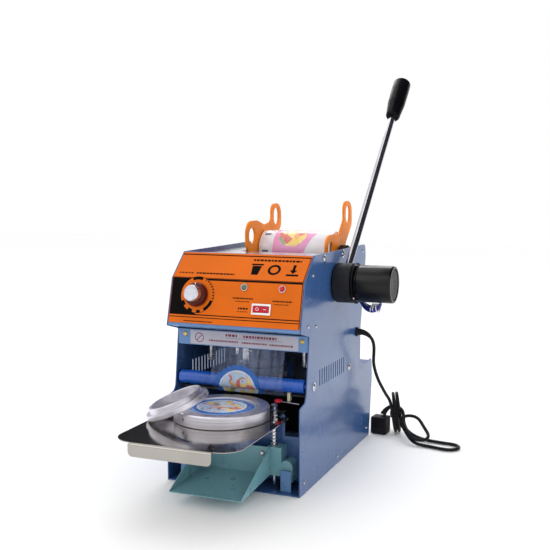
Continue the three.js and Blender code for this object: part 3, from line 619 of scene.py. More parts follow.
RUBBER = surface("cord_rubber", (11, 11, 13), 0.42, vary=0.2, scale=90, grain=0.12, grain_scale=1200,
                 specular=0.25)
WIRE_BLUE = surface("wire_blue", (36, 48, 140), 0.35, vary=0.12, scale=90, grain=0.1)
WIRE_WHITE = surface("wire_white", (222, 222, 226), 0.35, vary=0.06, scale=90, grain=0.1)
MOULD_METAL = turned_metal("mould_aluminium", (222, 219, 228), at(0, MOULD_Y, 140), "Z", 0.42)
CAP_METAL = turned_metal("knob_cap_aluminium", (206, 206, 216), at(KNOB_X, 16.3, KNOB_Z), "Y", 0.22, 0.8)
RING_METAL = surface("adapter_aluminium", (214, 211, 220), 0.42, 1.0, vary=0.12, scale=30, grain=0.25,
                     grain_scale=600)


# ---------------------------------------------------------------- mains cord
HANK_LOW, HANK_HIGH = Vector((176.5, 444, 24.2)), Vector((172, 440, 65))
LOOPS_LOW, LOOPS_HIGH = Vector((236, 384, 16.8)), Vector((212, 414, 34.3))


def bundle_frame(low, high, hint):
    along = (high - low).normalized()
    across = (hint - along * hint.dot(along)).normalized()
    return along, across, along.cross(across), (high - low).length


def hank_turns(turns, half_width, waist, depth):
    """The hank: down the front strands, under, up the back ones and over, stepping sideways as it goes."""
    along, across, face, length = bundle_frame(HANK_LOW, HANK_HIGH, Vector((-0.26, 0.965, 0)))
    straight = 7
    arc = 9
    one = []
    for k in range(straight):
        one.append((length * (1 - k / straight), -1, 0))
    for k in range(arc):
        one.append((0, None, math.pi + math.pi * k / arc))
    for k in range(straight):
        one.append((length * k / straight, 1, 0))
    for k in range(arc):
        one.append((length, None, math.pi * k / arc))
    last = 3
    total = int(len(one) * turns) + last
    points = []
    for i in range(total):
        a, side, angle = one[i % len(one)]
        f = depth - 2 * depth * min(1.0, i / (total - last))
        if side is None:
            w = half_width * math.cos(angle)
            a += half_width * math.sin(angle)
        else:
            pinch = math.sin(math.pi * a / length) ** 2
            w = side * (half_width - (half_width - waist) * pinch)
        points.append(HANK_LOW + along * a + across * w + face * f)
    return points


def loop_point(a, w, f):
    along, across, face, _ = bundle_frame(LOOPS_LOW, LOOPS_HIGH, Vector((0.8, 0.6, 0)))
    return LOOPS_LOW + along * a + across * w + face * f


def cord_route():
    run = [Vector(p) for p in (
        CORD_EXIT, (137, 315, 231.9), (142.5, 315.2, 230.5), (150.3, 316, 226), (155.8, 318.2, 219),
        (158, 321.8, 210), (157.2, 329, 198), (154, 339, 182), (151.4, 348, 165), (151.8, 359, 147),
        (154.8, 370, 128),
        (159.6, 382, 110), (165, 395, 92), (168.6, 408, 79),
    )]
    hank = hank_turns(2, 20.1, 15.5, 7.6)
    outward = [Vector(p) for p in (
        (189, 423.3, 39), (193, 421.3, 30), (199, 418.5, 22), (207, 414.5, 15), (217, 410, 9.8),
        (228.5, 405.8, 6.4),
        (241, 402, 4.5), (255, 399, 3.7), (270, 396.4, 3.6), (285, 393.5, 3.6),
    )]
    fold = [Vector((299.5 + 20.4 * math.cos(a), 371.5 + 20.4 * math.sin(a), 3.6))
            for a in [math.radians(d) for d in (75, 45, 15, -15, -45, -75)]]
    back = [Vector(p) for p in ((287, 353, 3.6), (270, 358, 3.6), (254, 361.5, 3.7), (240, 363, 4.8),
                                (229, 366, 8.2))]
    radius = 19.9
    left_lower = [loop_point(a, -radius, 3.3) for a in (6, 18, 30, 40)]
    cap_high = [loop_point(42.2 + radius * math.sin(t), -radius * math.cos(t), 3.3 - 6.6 * t / math.pi)
                for t in [math.pi * k / 8 for k in range(1, 8)]]
    right_upper = [loop_point(a, radius, -3.3) for a in (40, 27, 14, 2)]
    cap_low = [loop_point(-radius * math.sin(t), radius * math.cos(t), -3.4)
               for t in [math.pi * k / 8 for k in range(1, 8)]]
    left_upper = [loop_point(a, -radius, -3.6) for a in (2, 14)]
    finish = [Vector(p) for p in (
        (201, 403, 36.5), (197.5, 415.5, 45), (192.5, 427, 52), (183, 436.5, 56.6), (172, 440.5, 57.6),
        (163.2, 440.8, 55.8), (156, 439.6, 50.8), (151, 437.6, 44.6), (148.4, 435.6, 38.4),
    )]
    return smooth_path(run + hank + outward + fold + back + left_lower + cap_high + right_upper
                       + cap_low + left_upper + finish, 3.0, 3)


route = cord_route()
cord = tube_curve("mains_cord", route, CORD / 2)
piece(cord, "chassis", "cord_rubber", RUBBER, "cord_run", "cord_hank", "cord_loops", "cord_tail", "cord_end")


def plug_pieces():
    """Moulded three-pin plug on the floor, with a tapered strain relief up the cord."""
    turn = Matrix.Translation(at(144.3, 431, 0)) @ Matrix.Rotation(math.radians(85), 4, "Z")
    body = block("plug_shell", -15, 15, 188, 222, 0.4, 36, 3.2, 5)
    ribs = [block("plug_rib", 14.2, 15.4, 205 + y - 1.1, 205 + y + 1.1, 6, 30, 0.5) for y in (-12, -8, 8,
                                                                                              12)]
    waist = block("plug_waist", -15.4, -6, 196, 214, 9, 27, 1.6)
    shell = merge("plug_shell", [body, waist, *ribs])
    pins = [block("pin", 14, 31, 205 + y - 0.9, 205 + y + 0.9, z - 3.2, z + 3.2, 0.5)
            for y, z in ((0, 26), (-7, 12), (7, 12))]
    pin = merge("plug_pins", pins)
    for obj in (shell, pin):
        obj.data.transform(turn)
    piece(shell, "chassis", "cord_rubber", BLACK_PLASTIC, "mains_plug")
    piece(pin, "chassis", "steel", BRASS)
    return [shell, pin, ribbed_sleeve("plug_relief", route[-9:], 3.45, 6.05)]


def ribbed_sleeve(name, line, thin, thick):
    """A tapered strain relief with shallow ribs, moulded along a stretch of the cord."""
    verts, faces = [], []
    steps = 24
    for i, point in enumerate(line):
        ahead = line[min(i + 1, len(line) - 1)] - line[max(i - 1, 0)]
        direction = ahead.normalized()
        side = direction.cross(Z if abs(direction.z) < 0.9 else Y).normalized()
        up = direction.cross(side)
        share = i / (len(line) - 1)
        radius = thin + (thick - thin) * share + (0.35 if i % 2 else 0)
        for k in range(steps):
            a = 2 * math.pi * k / steps
            verts.append(at(*(point + (side * math.cos(a) + up * math.sin(a)) * radius)))
    for i in range(len(line) - 1):
        for k in range(steps):
            n = (k + 1) % steps
            faces.append((i * steps + k, i * steps + n, (i + 1) * steps + n, (i + 1) * steps + k))
    faces.append(tuple(range(steps))[::-1])
    faces.append(tuple(range((len(line) - 1) * steps, len(line) * steps)))
    sleeve = shade(mesh_object(name, verts, faces), 60, weighted=False)
    return piece(sleeve, "chassis", "cord_rubber", RUBBER)


def cord_tie():
    """The soft tie round the hank's waist."""
    along, across, face, length = bundle_frame(HANK_LOW, HANK_HIGH, Vector((-0.26, 0.965, 0)))
    middle = HANK_LOW + along * length * 0.42
    loop = []
    for k in range(29):
        t = 2 * math.pi * k / 28
        w = 19.0 * math.copysign(abs(math.cos(t)) ** 0.45, math.cos(t))
        f = 11.6 * math.copysign(abs(math.sin(t)) ** 0.45, math.sin(t))
        loop.append(middle + across * w + face * f + along * (1.2 * math.sin(2 * t)))
    tie = tube("cord_tie", loop, 1.3)
    return piece(tie, "chassis", "cord_rubber", BLACK_PLASTIC)


cord_parts = [*plug_pieces(), cord_tie()]
grommet = lathe("cord_grommet_seat",
                [[0, 125.3], [9, 125.3], [9, 127.6], [6.8, 129], [6.2, 133.2], [0, 133.3]],
                at(0, GROMMET_Y, GROMMET_Z), X, 40)
piece(grommet, "chassis", "cord_rubber", BLACK_PLASTIC, "cord_grommet")
ribbed_sleeve("exit_sleeve", route[7::-1], 3.4, 5.9)


# ---------------------------------------------------------------- fasteners
def screw(centre, normal, radius, height, socket=0.42):
    """A pan head with a round-bottomed drive recess."""
    inner = radius * socket
    profile = [
        [0, height * 0.45], [inner, height * 0.45, 0.05], [inner * 1.08, height, 0.15],
        [radius * 0.72, height * 0.92, radius * 0.2], [radius, height * 0.35, radius * 0.15], [radius, -0.2],
        [0, -0.2],
    ]
    return lathe("screw", profile, centre, normal, 24, corner=0.1)


def hexagon(centre, normal, radius, height):
    profile = [[0, height], [radius * 0.8, height, 0.1], [radius, height * 0.8, 0.1], [radius, 0], [0, 0]]
    return lathe("nut", profile, centre, normal, 6, corner=0.05, angle=25)


# ---------------------------------------------------------------- body
SIDE = [
    [0, 0], [0, 151, 7], [25, 156, 8], [31, 165, 6], [44, 265, 3], [2, 276, 3], [23.5, 358], [70, 401],
    [371, 401, 11], [374, 375, 20], [343, 235, 60], [343, 154.5, 30], [392, 155, 30], [425, 162, 10],
    [430, 120, 40], [410, 0],
]
LOUVRES = [slot_hole(98 + k * 12.4, 184.5 - k * 0.25, 15, 2) for k in range(12)]


def body():
    left = plate("left_side", SIDE, -HALF_WIDTH, PLATE - HALF_WIDTH, "X", LOUVRES, 0.35)
    piece(left, "chassis", "blue_paint", BLUE, "side_plate_left")
    holes = [*LOUVRES, circle(LEVER_Y, LEVER_Z, 14), circle(GROMMET_Y, GROMMET_Z, 7, 32)]
    right = plate("right_side", SIDE, HALF_WIDTH - PLATE, HALF_WIDTH, "X", holes, 0.35)
    piece(right, "chassis", "blue_paint", BLUE, "side_plate_right")
    base = plate("base_sheet", rectangle(-INNER, INNER, 0.5, 408, 1), 0, PLATE, "Z", (), 0.35)
    piece(base, "chassis", "blue_paint", BLUE, "base_plate")
    top = plate("top_sheet", rectangle(-INNER, INNER, 78, 366, 1), 391.5, 393, "Z",
                [rectangle(-74, 118, 202, 350, 3)], 0.25)
    piece(top, "chassis", "polished_steel", TOP_STEEL, "top_plate")
    for node, name in (("rear_panel_upper", "rear_upper"), ("rear_panel_lower", "rear_lower")):
        eased(node, 0.3, name, "chassis", "blue_paint", BLUE)
    # The front sheet and fascia bar take the lighter copy of the blue enamel: painted light on the front
    # faces.
    eased("front_panel", 0.4, "front_sheet", "chassis", "blue_paint", BLUE_PAINTED_LIT)
    fascia = plate("fascia_bar", rectangle(-INNER, INNER, 238, 265.7, 1.5), 42, 43.5, "Y", (), 0.3)
    piece(fascia, "chassis", "blue_paint", BLUE_PAINTED_LIT, "fascia_strip")
    label = plate("fascia_label", rectangle(-99, 106, 239.5, 264, 1), 41.7, 42.0, "Y", (), 0.05)
    piece(label, "chassis", "white_label", LABEL)
    eased("electrics_box", 2.0, "electrics_cover", "chassis", "black_plastic", BLACK_PLASTIC)
    fronts = [screw(at(x, 42, 256.5), -Y, 4.2, 1.8) for x in (-109, 113)]
    piece(merge("fascia_screws", fronts), "chassis", "steel", BRASS)
    large = [(119, 391.5), (224, 392.4), (67.6, 174.3), (267, 170.5)]
    small = [(352.5, 388.9), (61.3, 367.5), (38.4, 282.9), (76.6, 278)]
    for side, name in ((1, "right_bolts"), (-1, "left_bolts")):
        heads = [screw(at(side * HALF_WIDTH, y, z), X * side, 5.6, 3.2) for y, z in large]
        heads += [lathe("washer", [[3, 0], [7.6, 0], [7.6, 0.8], [3, 0.8]], at(side * HALF_WIDTH, y, z),
                        X * side, 32, closed=True, corner=0.2) for y, z in large]
        heads += [screw(at(side * HALF_WIDTH, y, z), X * side, 3.1, 1.9) for y, z in small]
        heads += [screw(at(side * HALF_WIDTH, y, z), X * side, 3.1, 1.9) for y,
                  z in ((20, 20), (200, 14), (390, 20))]
        piece(merge(name, heads), "chassis", "polished_steel", CHROME)
    rear = [screw(at(x, 345.3 + (z > 200) * 6.5, z), Y, 3.1, 1.9) for x in (-105, 105) for z in (180, 260)]
    piece(merge("rear_screws", rear), "chassis", "polished_steel", CHROME)


# ---------------------------------------------------------------- printed marks
LOWER = (Vector((3.1, 282.7)), Vector((23.0, 359.2)))
UPPER = (Vector((23.0, 359.2)), Vector((67.5, 400.1)))


def on_face(face, x, s, lift):
    """A point s mm up one of the two overlay faces, lifted off it."""
    start, end = face
    along = (end - start).normalized()
    normal = Vector((-along.y, along.x))
    spot = start + along * s + normal * lift
    return at(x, spot.x, spot.y)


def rise(face, z):
    start, end = face
    return (z - start.y) / (end - start).normalized().y


def prism(name, top, foot):
    n = len(top)
    faces = [tuple(range(n)), tuple(range(n, 2 * n))[::-1]]
    faces += [(k, n + k, n + (k + 1) % n, (k + 1) % n) for k in range(n)]
    obj = mesh_object(name, top + foot, faces)
    tidy(obj.data)
    return obj


def decal(face, points, lift=0.16):
    """A thin printed patch: an outline [x, s] on a face."""
    top = [on_face(face, x, s, lift) for x, s in points]
    foot = [on_face(face, x, s, -0.04) for x, s in points]
    return prism("decal", top, foot)


def bar(face, x0, x1, s0, s1, lift=0.16):
    return decal(face, [(x0, s0), (x1, s0), (x1, s1), (x0, s1)], lift)


def ring_part(face, x, s, inner, outer, start, end, lift=0.16):
    steps = max(4, int(abs(end - start) / 5))
    angles = [math.radians(start + (end - start) * k / steps) for k in range(steps + 1)]
    parts = []
    for a, b in zip(angles, angles[1:]):
        corners = [(x + r * math.cos(t), s + r * math.sin(t)) for r, t in
                   ((inner, a), (outer, a), (outer, b), (inner, b))]
        parts.append(decal(face, corners, lift))
    return parts


def dashes(face, x0, x1, s, size, gap, height, lift=0.16):
    parts, x, k = [], x0, 0
    while x < x1:
        wide = size * (0.75 + 0.5 * ((k * 7) % 5) / 4)
        parts.append(bar(face, x, min(x + wide, x1), s, s + height, lift))
        x += wide + gap
        k += 1
    return parts


def prints():
    eased("control_overlay", 0.12, "overlay_skin", "chassis", "orange_overlay", ORANGE_FACE)
    knob_s = rise(LOWER, 331.0)
    line_high, line_low = rise(LOWER, 296.5), rise(LOWER, 292.2)
    full = (LOWER[1] - LOWER[0]).length
    upper_full = (UPPER[1] - UPPER[0]).length
    black = [
        bar(UPPER, -121.5, 121.5, upper_full - 6.5, upper_full - 4.2),
        bar(LOWER, -121.5, 121.5, full - 3.4, full - 0.3),
        bar(UPPER, -121.5, 121.5, 0.1, 1.2),
        bar(LOWER, -121.5, -72, line_high, full - 0.2, 0.14),
        bar(LOWER, -121.5, 121.5, line_high, line_high + 1.7),
        bar(LOWER, -121.5, 121.5, line_low, line_low + 1.3),
        bar(LOWER, 120.2, 121.3, 1.2, full - 1),
        bar(UPPER, 120.2, 121.3, 1.2, upper_full - 5),
    ]
    disc = decal(LOWER, [(-71 + 31.5 * math.cos(math.radians(5 * k)),
                          knob_s + 31.5 * math.sin(math.radians(5 * k)))
                         for k in range(72)], 0.2)
    piece(disc, "chassis", "orange_overlay", ORANGE_FACE)
    for start, end in ((112, 74), (-18, -60), (-74, -88), (-104, -122), (-140, -158)):
        black += ring_part(LOWER, KNOB_X, knob_s, 26.5, 31.5, start, end, 0.26)
    for k in range(8):
        angle = 62 - k * 10
        black += ring_part(LOWER, KNOB_X, knob_s, 28.2, 31.0, angle, angle - 3.5, 0.26)
    black += ring_part(LOWER, KNOB_X, knob_s, 31.3, 32.0, 0, 360, 0.26)
    captions = [(-3, 34, 327.5, 2.6), (2, 28, 322.8, 1.7), (70, 105, 325.5, 2.6), (74, 100, 320.8, 1.7),
                (8, 27, 310.5, 3.2), (7, 26, 306.2, 1.5)]
    for x0, x1, z, height in captions:
        black += dashes(LOWER, x0, x1, rise(LOWER, z), height * 1.1, 1.4, height)
    black += dashes(LOWER, -92, -38, rise(LOWER, 285.6), 3.4, 0.9, 1.6)
    black += dashes(UPPER, -113, -84, rise(UPPER, 366.0), 3.2, 2.6, 3.0)
    black += dashes(UPPER, -80, -8, rise(UPPER, 366.0), 5.2, 1.3, 3.2)
    black += dashes(UPPER, 18, 106, rise(UPPER, 389.2), 5.0, 1.6, 4.2)
    low, high = rise(UPPER, 368.0), rise(UPPER, 385.0)
    middle = (low + high) / 2
    black += [decal(UPPER, [(20, high - 5), (22.5, low), (34.5, low), (37, high - 5)]),
              bar(UPPER, 17.5, 39.5, high - 3.5, high)]
    black += ring_part(UPPER, 62, middle, 7.2, 11.6, 0, 360)
    black += [bar(UPPER, 86, 108, low, low + 4), bar(UPPER, 94.5, 99.5, low + 12, high),
              decal(UPPER, [(90, low + 13), (97, low + 5.5), (104, low + 13)])]
    piece(merge("overlay_prints", black), "chassis", "black_plastic", BLACK_PRINT)


def label_prints():
    red = []
    for k in range(36):
        a, b = math.radians(10 * k), math.radians(10 * k + 10.2)
        ring = [(-81 + r * math.cos(t), 251.6 + r * math.sin(t)) for r,
                t in ((7.2, a), (8.6, a), (8.6, b), (7.2, b))]
        red.append(ring)
    cross = Vector((math.cos(math.radians(45)), math.sin(math.radians(45))))
    side = Vector((-cross.y, cross.x)) * 0.7
    red.append([(-81 + p.x, 251.6 + p.y) for p in
                (cross * 7.6 + side, -cross * 7.6 + side, -cross * 7.6 - side, cross * 7.6 - side)])
    for x0, x1, z, height, size in ((-30, -8, 256.4, 4.2, 5.0), (4, 66, 255.8, 4.4, 4.2),
                                    (-30, 76, 253.4, 0.5, 30),
                                    (-62, -6, 246.0, 3.2, 3.2), (1, 48, 245.6, 3.2, 3.2),
                                    (53, 96, 245.2, 3.2, 3.2)):
        x, k = x0, 0
        while x < x1:
            wide = size * (0.7 + 0.5 * ((k * 3) % 4) / 3)
            red.append([(x, z), (min(x + wide, x1), z), (min(x + wide, x1), z + height), (x, z + height)])
            x += wide + (0 if size > 20 else 1.4)
            k += 1
    parts = []
    for loop in red:
        parts.append(prism("mark", [at(x, 41.6, z) for x, z in loop], [at(x, 41.75, z) for x, z in loop]))
    piece(merge("label_prints", parts), "chassis", "red_plastic", RED_PRINT)


# ---------------------------------------------------------------- controls
OUTWARD = Vector((0, -0.9673, 0.2536))
UPWARD = Vector((0, 0.2536, 0.9673))


def panel_point(x, z):
    return at(x, 2 + (z - 276) * 0.2536 / 0.9673, z)


def to_panel(obj, x, z):
    """Carries a part drawn about the origin, +Z outwards, to the panel face."""
    turn = Matrix((X, UPWARD, OUTWARD)).transposed().to_4x4()
    obj.data.transform(Matrix.Translation(panel_point(x, z)) @ turn)
    return obj


def controls():
    seat = panel_point(KNOB_X, KNOB_Z)
    skirt = lathe("knob_skirt",
                  [[0, -10], [3.6, -10], [3.6, 1.6], [19, 1.6], [21, 3.2, 1], [20.4, 9, 2], [19, 12.4, 2],
                                 [15.2, 13.2], [0, 13.2]], seat, OUTWARD, 80)
    piece(skirt, "knob", "maroon_plastic", MAROON, "thermostat_knob")
    cap = lathe("knob_cap", [[0, 13], [15.4, 13], [15.2, 16], [14.2, 25.5, 1.2], [13, 27, 0.6], [11.8, 26.4],
                             [0, 26.6]], seat, OUTWARD, 80)
    piece(cap, "knob", "polished_steel", CAP_METAL)
    pointer = to_panel(block("knob_mark", -0.8, 0.8, 205 + 15.6, 205 + 20.0, 9, 12.9, 0.3), KNOB_X, KNOB_Z)
    piece(pointer, "knob", "white_plastic", WHITE_PLASTIC)
    for node, x, lens, name in (("heat_lamp", 16, GREEN_LENS, "heat_lens"),
                                ("power_lamp", 85.5, RED_LENS, "power_lens")):
        slot_name = "green_lens" if x < 50 else "red_lens"
        spot = panel_point(x, 347)
        dome = lathe(name, [[0, -8], [2.9, -8], [2.9, 1.2], [4.6, 1.4], [4.4, 3.4, 0.6], [3.7, 6.2, 1.6],
                            [0, 7.2, 1]],
                     spot, OUTWARD, 40)
        piece(dome, "chassis", slot_name, lens, node)
        rim = lathe(name + "_rim", [[4.7, 1.2], [6.4, 1.2], [6.2, 2.4], [4.9, 3.0]], spot, OUTWARD, 40,
                    closed=True,
                    corner=0.3)
        piece(rim, "chassis", "polished_steel", CHROME)
    eased("switch_bezel", 0.6, "switch_frame", "chassis", "white_plastic", WHITE_PLASTIC)
    eased("rocker_switch", 0.7, "rocker_paddle", "rocker", "red_plastic", RED)
    tilt = math.radians(7)
    marks = [lathe("o_mark", [[2.0, 0], [2.7, 0], [2.7, 0.5], [2.0, 0.5]], Vector((0, 0, 0)), Z, 32,
                   closed=True,
                   corner=0.1)]
    marks[0].data.transform(Matrix.Translation(Vector((-6.6, 0,
            3.9)) * MM) @ Matrix.Rotation(math.radians(6.6), 4, "Y"))
    dash = block("i_mark", -2.6, 2.6, 205 - 0.5, 205 + 0.5, 0, 0.5, 0.15)
    dash.data.transform(Matrix.Translation(Vector((6.6, 0, 3.9)) * MM) @ Matrix.Rotation(math.radians(-6.6),
                                                                                         4, "Y"))
    marks.append(dash)
    glyphs = merge("rocker_marks", marks)
    glyphs.data.transform(Matrix.Rotation(tilt, 4, "Y"))
    to_panel(glyphs, 51, 312)
    piece(glyphs, "rocker", "white_plastic", WHITE_PLASTIC)


# ---------------------------------------------------------------- film
def bracket_outline(front, rear, saddle):
    return [
        [252, 352, 8], [rear[0] - 18, 352, 8], [rear[0] - 14, 402, 24], [rear[0] + 27, rear[1] - 22, 18],
        [rear[0] + 27, rear[1] + 26, 25], [rear[0] - 27, rear[1] + 26, 25], [rear[0] - 25, rear[1] - 10, 14],
        [*saddle, 16], [front[0] + 26, front[1] + 27, 22], [front[0] - 28, front[1] + 27, 25],
        [front[0] - 28, front[1] - 22, 20],
    ], [slot_hole(*rear, 17, 13), slot_hole(front[0] - 1, front[1] - 2, 15, 14),
        circle(ROLL_Y, ROLL_Z, 6.4, 40)]


def film_path():
    """The web's line [y, z] from the roll to the guide roller, under the die and back to the take-up."""
    def arc(y, z, radius, start, end, steps):
        angles = [math.radians(start + (end - start) * k / steps) for k in range(steps + 1)]
        return [(y + radius * math.cos(a), z + radius * math.sin(a)) for a in angles]
    gap = 0.55
    return [
        (294, 388 - 41.7), *arc(90, 380, 6 + gap, 80, 190, 10),
        *arc(GUIDE_Y, GUIDE_Z, 12 + gap, 170, 276, 16),
        *arc(52, 160.6, 3 + gap, 196, 268, 6), (112, 160.6 - 3 - gap),
        *arc(172, 160.6, 3 + gap, 272, 338, 6),
        (222, 286),
    ]


def film():
    for name, node, x, places in (("bracket_left", "roll_bracket_left", -66,
                                   ((234, 423), (358, 455), (296, 440))),
                                  ("bracket_right", "roll_bracket_right", 88,
                                   ((252, 398), (358, 461), (305, 424)))):
        edge, holes = bracket_outline(*places)
        piece(plate(name, edge, x, x + 4, "X", holes, 1.3), "chassis", "orange_plastic", ORANGE, node)
    roll = lathe("film_roll_print", [[7, -60], [41, -60], [41, 86], [7, 86]], at(0, ROLL_Y, ROLL_Z), X, 120,
                 closed=True,
                 corner=0.4)
    piece(roll, "roll", "film_print", film_roll_material(), "film_roll")
    spindle = [[0, -74], [6, -74], [6, 94], [12, 94.2], [15, 96.5], [15, 110], [13, 113], [9, 113],
               [8.2, 111.8],
               [0, 111.8]]
    piece(lathe("roll_pin", spindle, at(0, ROLL_Y, ROLL_Z), X, 60), "chassis", "black_plastic",
          BLACK_PLASTIC,
          "roll_spindle")
    path = film_path()
    verts, uvs, along = [], [], 0.0
    columns = 28
    focus, focus_row = 0.0, 14
    for i, (y, z) in enumerate(path):
        if i:
            along += math.hypot(y - path[i - 1][0], z - path[i - 1][1])
        if i == focus_row:
            focus = along
        for k in range(columns + 1):
            x = -55 + 135 * k / columns
            verts.append(at(x, y, z))
            uvs.append((x * MM, along * MM))
    faces = []
    for i in range(len(path) - 1):
        for k in range(columns):
            a = i * (columns + 1) + k
            faces.append((a, a + 1, a + columns + 2, a + columns + 1))
    web = mesh_object("film_sheet", verts, faces, uvs)
    shade(web, 60, weighted=False)
    solid = web.modifiers.new("thickness", "SOLIDIFY")
    solid.thickness = 0.00015
    piece(web, "chassis", "clear_film", film_web_material(focus * MM + 0.014), "film_web")
    roller = [[0, -122.1], [4, -122.1], [4, -118], [12, -118, 1], [12, 118, 1], [4, 118], [4, 122.1],
              [0, 122.1]]
    piece(lathe("guide_tube", roller, at(0, GUIDE_Y, GUIDE_Z), X, 64), "guide", "blue_roller", ROLLER_BLUE,
          "guide_roller")


# ---------------------------------------------------------------- lever
def lever():
    tilt = math.radians(46)
    axis = Vector((0, math.sin(tilt), math.cos(tilt)))
    root = at(139, LEVER_Y, LEVER_Z)
    hub = [[8.5, 126.5], [33.5, 126.5], [36, 129, 1.4], [36, 158.4, 1.0], [34.4, 160, 0.8], [26, 160],
           [25, 158.6],
           [8.5, 158.6]]
    piece(lathe("hub_casting", hub, at(0, LEVER_Y, LEVER_Z), X, 96, closed=True), "lever", "black_plastic",
          HUB,
          "lever_hub")
    rod = [[0, 20.5], [6.8, 20.5], [6.8, 457], [0, 457]]
    piece(lathe("lever_bar", rod, root, axis, 56), "lever", "polished_steel", CHROME, "lever_rod")
    collar = lathe("lever_collar", [[6.9, 34], [9.4, 34], [9.4, 37.4], [6.9, 39]], root, axis, 40,
                   closed=True)
    piece(collar, "lever", "black_plastic", HUB)
    grip = [[0, 457.4], [12.4, 457.4, 0.6], [14.6, 461, 2], [15.6, 474, 20], [18.2, 500, 40],
            [18.7, 540, 60],
            [18.6, 566.8, 1.2], [0, 567, 0]]
    piece(lathe("lever_handle", grip, root, axis, 64), "lever", "black_plastic", GRIP, "lever_grip")
    shell = [[0, 165.6], [31, 165.6], [31, 169.6], [33.5, 171.6], [33.5, 231, 0.8], [32.4, 234, 0.8],
             [28.8, 234, 0.5],
             [28.2, 231.2], [0, 231.2]]
    piece(lathe("motor_can", shell, at(0, LEVER_Y, LEVER_Z), X, 96), "chassis", "black_gloss", GLOSS_BLACK,
          "film_motor")
    cap = [[0, 231.0], [27.9, 231.0], [27.9, 232.2], [26.5, 232.9], [10, 232.6], [9.4, 232.0], [0, 232.0]]
    piece(lathe("motor_cap", cap, at(0, LEVER_Y, LEVER_Z), X, 80), "chassis", "black_gloss", RECESS)
    NODES["motor_spindle"].data.materials.clear()
    NODES["motor_spindle"].data.materials.append(DARK_DISC)
    disc = [[9, 162.5], [37, 162.5], [37.1, 165.3], [9, 165.3]]
    piece(lathe("motor_disc", disc, at(0, LEVER_Y, LEVER_Z), X, 96, closed=True, corner=0.6), "chassis",
          "black_plastic", DARK_DISC)
    spots = [screw(at(165.2, LEVER_Y + 34.2 * math.cos(a), LEVER_Z + 34.2 * math.sin(a)), X, 2.2, 1.6)
             for a in [math.radians(d) for d in (105, 225, 345)]]
    piece(merge("disc_screws", spots), "chassis", "polished_steel", CHROME)
    strands = []
    line = [(125.6, 240, 322), (136, 240, 321), (148, 236, 315), (160, 226, 306), (172, 212, 299),
            (184, 200, 296.5),
            (196, 190, 297.5), (205, 187, 301), (209, 186, 308)]
    swell = [1.6, 2.0, 2.4, 3.4, 4.6, 5.2, 4.8, 3.2, 1.6]
    for k in range(7):
        points = []
        for i, ((x, y, z), r) in enumerate(zip(line, swell)):
            a = 2 * math.pi * k / 7 + 0.35 * i
            points.append((x, y + r * math.cos(a), z + r * math.sin(a)))
        strands.append(tube("strand", points, 1.8, 3))
    for k in range(3):
        cx, spread = 190 + 6.5 * k, 0.5 + 0.2 * k
        ring = []
        for t in [2 * math.pi * n / 16 for n in range(17)]:
            y = 195 - 5 * k * 0.6 + 7.6 * math.cos(t) * 0.95
            z = 298.4 + 7.6 * math.sin(t) * 0.95 + spread
            ring.append((cx + 2.4 * math.sin(t + k), y, z))
        strands.append(tube("strand_loop", ring, 1.1, 3))
    blue = merge("motor_wires_blue", strands[:6])
    white = merge("motor_wires_white", strands[6:])
    piece(blue, "chassis", "wire_insulation", WIRE_BLUE, "motor_leads")
    piece(white, "chassis", "wire_insulation", WIRE_WHITE)
    bush = lathe("wire_bush", [[0, 125.1], [7.4, 125.1], [7.4, 127.4], [6, 129.2], [0, 129.2]],
                 at(0, LEADS_Y, LEADS_Z), X, 32)
    piece(bush, "chassis", "black_plastic", BLACK_PLASTIC)


# ---------------------------------------------------------------- heater and inside
def inside():
    centre = at(0, DIE_Y, 0)
    die = [[46, 189], [50, 189], [50, 186], [54, 186], [54, 198], [46, 198]]
    piece(lathe("die_ring", die, centre, Z, 96, closed=True), "carriage", "cast_aluminium", CASTING)
    face = [[0, 189], [46.5, 189], [46.5, 198], [0, 198]]
    piece(lathe("die_face", face, centre, Z, 96), "carriage", "cast_aluminium", CASTING, "sealing_die")
    heater = [[0, 198.3], [50, 198.3, 1.5], [50, 214], [48.8, 214.8], [48.8, 217.4], [50, 218.2],
              [50, 241, 2], [0, 242.2]]
    piece(lathe("heater_body", heater, centre, Z, 96), "carriage", "cast_aluminium", CASTING, "heater_block")
    clips = [block("clip", -6, 6, 60.6, 64, 204, 236, 0.8), block("clip", -20, -14, 62, 66, 222, 242, 0.8)]
    clips += [screw(at(x, 62.4 + abs(x) * 0.08, z), -Y, 3, 2) for x, z in ((-9, 210), (9, 230))]
    piece(merge("heater_clips", clips), "carriage", "cast_aluminium", STEEL)
    eased("carriage_crosshead", 0.6, "crosshead_bar", "carriage", "steel", DARK_STEEL)
    eased("lever_crankshaft", 0.4, "crankshaft", "lever", "steel", STEEL)
    eased("carriage_guides", 0.5, "guide_posts", "chassis", "steel", STEEL)
    piece(lathe("top_film_bar", [[0, -INNER], [6, -INNER], [6, INNER], [0, INNER]], at(0, 90, 380), X, 40),
          "chassis", "steel", STEEL, "film_top_bar")
    eased("film_die_bars", 0.3, "die_film_bars", "chassis", "steel", DARK_STEEL)
    eased("take_up_roller", 0.5, "take_up", "take_up", "film_print", WHITE_PLASTIC)
    eased("film_drive_shaft", 0.4, "drive_shaft", "film_drive", "steel", STEEL)


# ---------------------------------------------------------------- drawer and tray
def coil(name, x, y, low, high, radius, wire, turns):
    points = []
    steps = 14 * turns
    for k in range(steps + 1):
        a = 2 * math.pi * k / 14
        height = low + wire + (high - low - 2 * wire) * k / steps
        points.append((x + radius * math.cos(a), y + radius * math.sin(a), height))
    return tube(name, points, wire, 3, 1.4)


